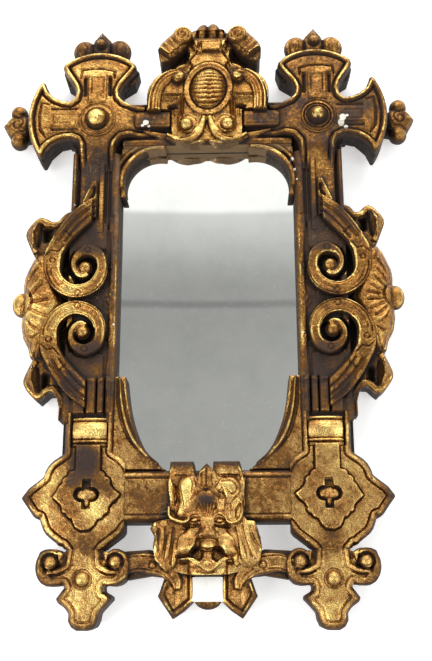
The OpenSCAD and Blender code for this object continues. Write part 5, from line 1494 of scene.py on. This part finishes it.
def gilding(name):
    """Old gilding: toned brown, rubbed bright on its edges with painted highlights, and dark ground where it
    is lost, with painted shade in its hollows and on faces that turn away.
    """
    paint = Paint(name)
    cloud = paint.noise(26, 3, 0.5)
    patch = paint.noise(130, 4, 0.65)
    blot = paint.noise(430, 4, 0.7)
    grain = paint.noise(1250, 3, 0.7)
    hollow, rub, worn, chip, patina, flank, low = (
        paint.mark(m) for m in ("hollow", "rub", "worn", "chip", "patina", "flank", "low"))
    # ridges rubbed bright with a painted highlight, broken up by noise
    rub = rub * (patch * 0.5 + cloud * 0.3 + blot * 0.2).between(0.42, 0.58)
    # the sum of toning, wear and noise, with painted shade from the hollows, the turned-away faces and the
    # lower rims, and less on the painted highlights of ridges; it loses and veils the gold
    wear_and_shade = (patina + hollow * 0.7 + flank * 0.45 + paint.mark("rim") * 0.95 + worn * 0.5 - rub * 0.45
        - low * 0.06 + (cloud - 0.5) * 1.0 + (patch - 0.5) * 1.4 + (blot - 0.5) * 1.4
        + (grain - 0.5) * 1.1)
    lost_and_shaded = wear_and_shade.between(0.40, 0.68)
    veil_and_shade = wear_and_shade.between(-0.2, 0.42)
    # painted highlights on the ridges, with random pale patches
    highlight_and_pale_patches = (rub * 0.8 - wear_and_shade * 0.9 + (blot - 0.5) * 0.8 + (grain - 0.5) * 1.3).between(0.05, 0.75)
    gold = paint.blend(low, GOLD, LOW_GOLD)
    gold = paint.blend((cloud + (patch - 0.5) * 0.8).between(0.46, 0.62) * 0.4, gold, BOLE)
    gold = paint.blend(veil_and_shade, gold, DEEP_GOLD)
    gold = paint.blend(highlight_and_pale_patches, gold, PALE_GOLD)
    ground = paint.blend((worn + (patch - 0.5)).between(0.3, 0.8),
        paint.blend(grain.between(0.35, 0.7), BROWN, TONED), PLUM)
    # painted shade in the hollows, along with their dirt
    ground = paint.blend((hollow + (patch - 0.5) * 0.6).between(0.3, 0.9), ground, BLACK_BROWN)
    colour = paint.blend(lost_and_shaded, gold, ground)
    colour = paint.blend((grain * 0.6 + blot * 0.4).between(0.54, 0.66) * 0.6, colour, BLACK_BROWN)
    # hairline cracks in the old ground, paler where its edges have lifted
    crack = paint.node("ShaderNodeTexVoronoi", {"feature": "DISTANCE_TO_EDGE"},
        {"Vector": paint.place(), "Scale": 210.0})
    hair = ((1 - crack.between(0.0, 0.035)) * (blot * 0.5 + cloud * 0.5).between(0.5, 0.6)
        * wear_and_shade.between(0.2, 0.5))
    colour = paint.blend(hair * 0.7, colour, DUST)
    colour = paint.blend((paint.mark("dust") + (patch - 0.5)).between(0.2, 0.9) * 0.75, colour, DUST)
    white = (chip + (blot - 0.5) * 0.8).between(0.45, 0.55)
    colour = paint.blend(white, colour, GESSO)
    # bare wood behind, stained dark with age
    wood = paint.mark("back")
    colour = paint.blend(wood, colour,
        paint.blend((patch * 0.5 + blot * 0.5).between(0.35, 0.62), OLD_WOOD, STAINED_WOOD))
    metal = (1 - lost_and_shaded * 0.95) * (1 - white) * (1 - wood)
    rough = 0.23 + lost_and_shaded * 0.3 + (grain - 0.5) * 0.4 + veil_and_shade * 0.1
    relief = grain * 0.45 + blot * 0.8 + patch * 1.6 - white * 0.6 - lost_and_shaded * 0.2 - hair * 0.5
    return paint.finish(Base_Color=colour, Metallic=metal, Roughness=rough, Specular_IOR_Level=0.3,
        Normal=paint.bump(relief, 0.8, 0.0006))


def looking_glass():
    paint = Paint("silvered_glass")
    dust = paint.noise(1900, 2, 0.5).between(0.70, 0.76)
    smear = paint.noise(45, 4, 0.6)
    colour = paint.blend(smear.between(0.3, 0.8), (0.88, 0.885, 0.86, 1), (0.80, 0.81, 0.79, 1))
    return paint.finish(Base_Color=colour, Metallic=1 - dust * 0.7, Roughness=0.02 + dust * 0.5)


def plain(name, colour, second, scale, metallic, rough, strength=0.2):
    """A turned or planed surface with a fine grain."""
    paint = Paint(name)
    grain = paint.noise(scale, 4, 0.6)
    speck = paint.noise(scale * 6, 2, 0.6)
    mixed = paint.blend((grain * 0.7 + speck * 0.3).between(0.3, 0.7), colour, second)
    return paint.finish(Base_Color=mixed, Metallic=metallic, Roughness=rough + (grain - 0.5) * 0.2,
        Normal=paint.bump(grain + speck * 0.4, strength, 0.0002))


def pine():
    paint = Paint("backboard_pine")
    stretched = paint.node("ShaderNodeMapping", {}, {"Vector": paint.place(), "Scale": (1, 1, 0.025)})
    lines = paint.noise(900, 4, 0.6, stretched)
    cloud = paint.noise(30, 3, 0.5)
    colour = paint.blend((lines + (cloud - 0.5) * 0.7).between(0.35, 0.68), tone(168, 128, 84),
        tone(112, 78, 48))
    return paint.finish(Base_Color=colour, Metallic=0.0, Roughness=0.7,
        Normal=paint.bump(lines, 0.3, 0.0003))


# The pieces, made for the right and copied to the left where the two are alike

PAIRS = ((cross_piece, "cross", "gilding"), (finial_top_piece, "finial_top", "gilding"),
    (finial_side_piece, "finial_side", "gilding"), (ear_piece, "crest_ear", "gilding"),
    (crest_scroll_piece, "crest_scroll", "gilding"),
    (spandrel_top_piece, "spandrel_top", "patinated_gilding"),
    (spandrel_bottom_piece, "spandrel_bottom", "burnished_gilding"),
    (collar_piece, "collar", "burnished_gilding"), (corner_piece, "corner_plate", "burnished_gilding"),
    (plaque_piece, "plaque", "burnished_gilding"), (foot_piece, "foot", "burnished_gilding"),
    (strap_low_piece, "lower_strap", "gilding"))
SINGLES = ((crest_piece, "crest_plate", "gilding"), (cabochon_piece, "crest_cabochon", "gilding"),
    (shell_piece, "crest_shell", "gilding"), (volutes_piece, "crest_volutes", "gilding"),
    (rail_top_piece, "rail_top", "patinated_gilding"),
    (rail_bottom_piece, "rail_bottom", "patinated_gilding"),
    (foot_boss_pieces, "foot_bosses", "burnished_gilding"), (mask_piece, "mask", "gilding"),
    (crown_piece, "mask_crown", "gilding"), (pendant_piece, "pendant", "gilding"))
SIDES = ((boss_piece, "cross_boss", "gilding"), (stile_piece, "stile", "patinated_gilding"),
    (strap_piece, "side_strap", "gilding"), (shell_side_piece, "side_shell", "gilding"))

for make, node, finish in PAIRS:
    right = make()
    left = mirrored(right, node + "_left")
    place(right, finish, node + "_right")
    place(left, finish, node + "_left")
for make, node, finish in SINGLES:
    place(make(), finish, node)
place(label_piece(), "label_paper", "label")
for piece in made:
    if piece.name.startswith("crest_"):
        leaned(piece)
for make, node, finish in SIDES:
    place(make(1), finish, node + "_right")
    place(make(-1), finish, node + "_left")
for up, level in ((1, "upper"), (-1, "lower")):
    right = scroll_piece("scroll_" + level + "_right", up)
    left = mirrored(right, "scroll_" + level + "_left")
    place(right, "gilding", "scroll_" + level + "_right")
    place(left, "gilding", "scroll_" + level + "_left")

mark_age_and_light(made)
SLOT_OF = {}
for subpart in frame["record"]["subparts"]:
    for node in subpart.get("nodes", [subpart.get("node")]):
        SLOT_OF[node] = subpart["material_slot"]
FINISHES = {"gilding": gilding("gilding"), "burnished_gilding": gilding("burnished_gilding"),
    "patinated_gilding": gilding("patinated_gilding"), "silvered_glass": looking_glass(),
    "backboard_pine": pine(),
    "brass": plain("brass", tone(196, 158, 84), tone(150, 112, 54), 500, 1.0, 0.32),
    "steel": plain("steel", tone(170, 170, 168), tone(120, 118, 114), 700, 1.0, 0.38),
    "label_paper": plain("label_paper", tone(246, 245, 240), tone(236, 234, 228), 300, 0.0, 0.75, 0.1)}
for piece in made:
    piece.data.materials.clear()
    piece.data.materials.append(FINISHES[piece["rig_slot"]])
    take(piece)
    bpy.ops.object.shade_smooth_by_angle(angle=math.radians(CREASE))
for node, source in frame["nodes"].items():
    if not source.hide_render:
        source.data.materials.clear()
        source.data.materials.append(FINISHES[SLOT_OF[node]])

# The studio, in metres

MIDDLE = (0, 0, -0.14)
WALL_GAP = 0.0006

camera = bpy.data.objects.new("camera", bpy.data.cameras.new("camera"))
bpy.context.scene.collection.objects.link(camera)
# fitted to the photo's features: lens in mm, place, and turn in degrees
camera.data.lens = 50.094
camera.location = (0.021383, -0.612704, -0.34637)
camera.rotation_euler = [math.radians(a) for a in (106.6566, 0.2131, 1.5767)]
bpy.context.scene.camera = camera


def lamp(name, at, size, watts):
    """A soft light that looks at the mirror's middle."""
    light = bpy.data.objects.new(name, bpy.data.lights.new(name, "AREA"))
    bpy.context.scene.collection.objects.link(light)
    light.data.shape = "RECTANGLE"
    light.data.size, light.data.size_y = size
    light.data.energy = watts
    light.location = at
    light.rotation_euler = (Vector(MIDDLE) - Vector(at)).to_track_quat("-Z", "Y").to_euler()
    return light


LAMPS = [lamp("low_left", (-0.75, -0.9, -0.6), (0.5, 0.9), 8),
    lamp("low_right", (0.8, -0.85, -0.55), (0.5, 0.9), 5),
    lamp("overhead", (0.1, -0.7, 0.9), (1.0, 0.6), 8)]

# The room that the glass and the gold reflect: a white ceiling, and a grey wall with a joint across it.
# Heights and directions are parts of the world's unit vector.
CEILING = (0.4025, 0.41)
JOINT = 0.3135
room = Paint("", bpy.data.worlds.new("room"))
bpy.context.scene.world = room.material
way = room.node("ShaderNodeTexCoord", out="Generated")
parts = room.node("ShaderNodeSeparateXYZ", {}, {"Vector": way})
rise = Value(room, parts.socket.node.outputs["Z"])
across = Value(room, parts.socket.node.outputs["X"])
white = rise.between(*CEILING)
line = 1 - (rise - JOINT).math("ABSOLUTE", rise - JOINT).between(0.001, 0.006)
low_light = (1 - rise.between(0.21, 0.3)) * 0.04
grey = 0.365 + rise.between(0.325, 0.42) * 0.4 + low_light + across.between(-0.2, 0.2) * 0.04 - line * 0.11
strength = white * 1.2 + (1 - white) * grey
reflected = room.node("ShaderNodeBackground", {}, {"Color": (0.99, 1, 0.975, 1), "Strength": strength})
seen_white = room.node("ShaderNodeBackground", {}, {"Color": (1, 1, 1, 1), "Strength": 1.0})
path = room.node("ShaderNodeLightPath", out="Is Camera Ray")
mixed = room.node("ShaderNodeMixShader", {}, {0: path, 1: reflected, 2: seen_white})
room.node("ShaderNodeOutputWorld", {}, {"Surface": mixed})

# White wall behind, seen from the front only
bpy.ops.mesh.primitive_plane_add(size=3, location=(0, WALL_GAP, MIDDLE[2]), rotation=(math.radians(90), 0, 0))
wall = bpy.context.object
wall.name = "wall"
rest(wall)
paint = Paint("wall_white")
behind = paint.node("ShaderNodeNewGeometry", out="Backfacing")
paper = paint.node("ShaderNodeBsdfDiffuse", {}, {"Color": (0.86, 0.86, 0.86, 1)})
lit = paint.node("ShaderNodeEmission", {}, {"Color": (1, 1, 1, 1), "Strength": 0.45})
both = paint.node("ShaderNodeAddShader", {}, {0: paper, 1: lit})
clearer = paint.node("ShaderNodeBsdfTransparent", {}, {})
paint.node("ShaderNodeOutputMaterial", {},
    {"Surface": paint.node("ShaderNodeMixShader", {}, {0: behind, 1: both, 2: clearer})})
wall.data.materials.append(paint.material)

bpy.context.scene.view_settings.view_transform = "Standard"
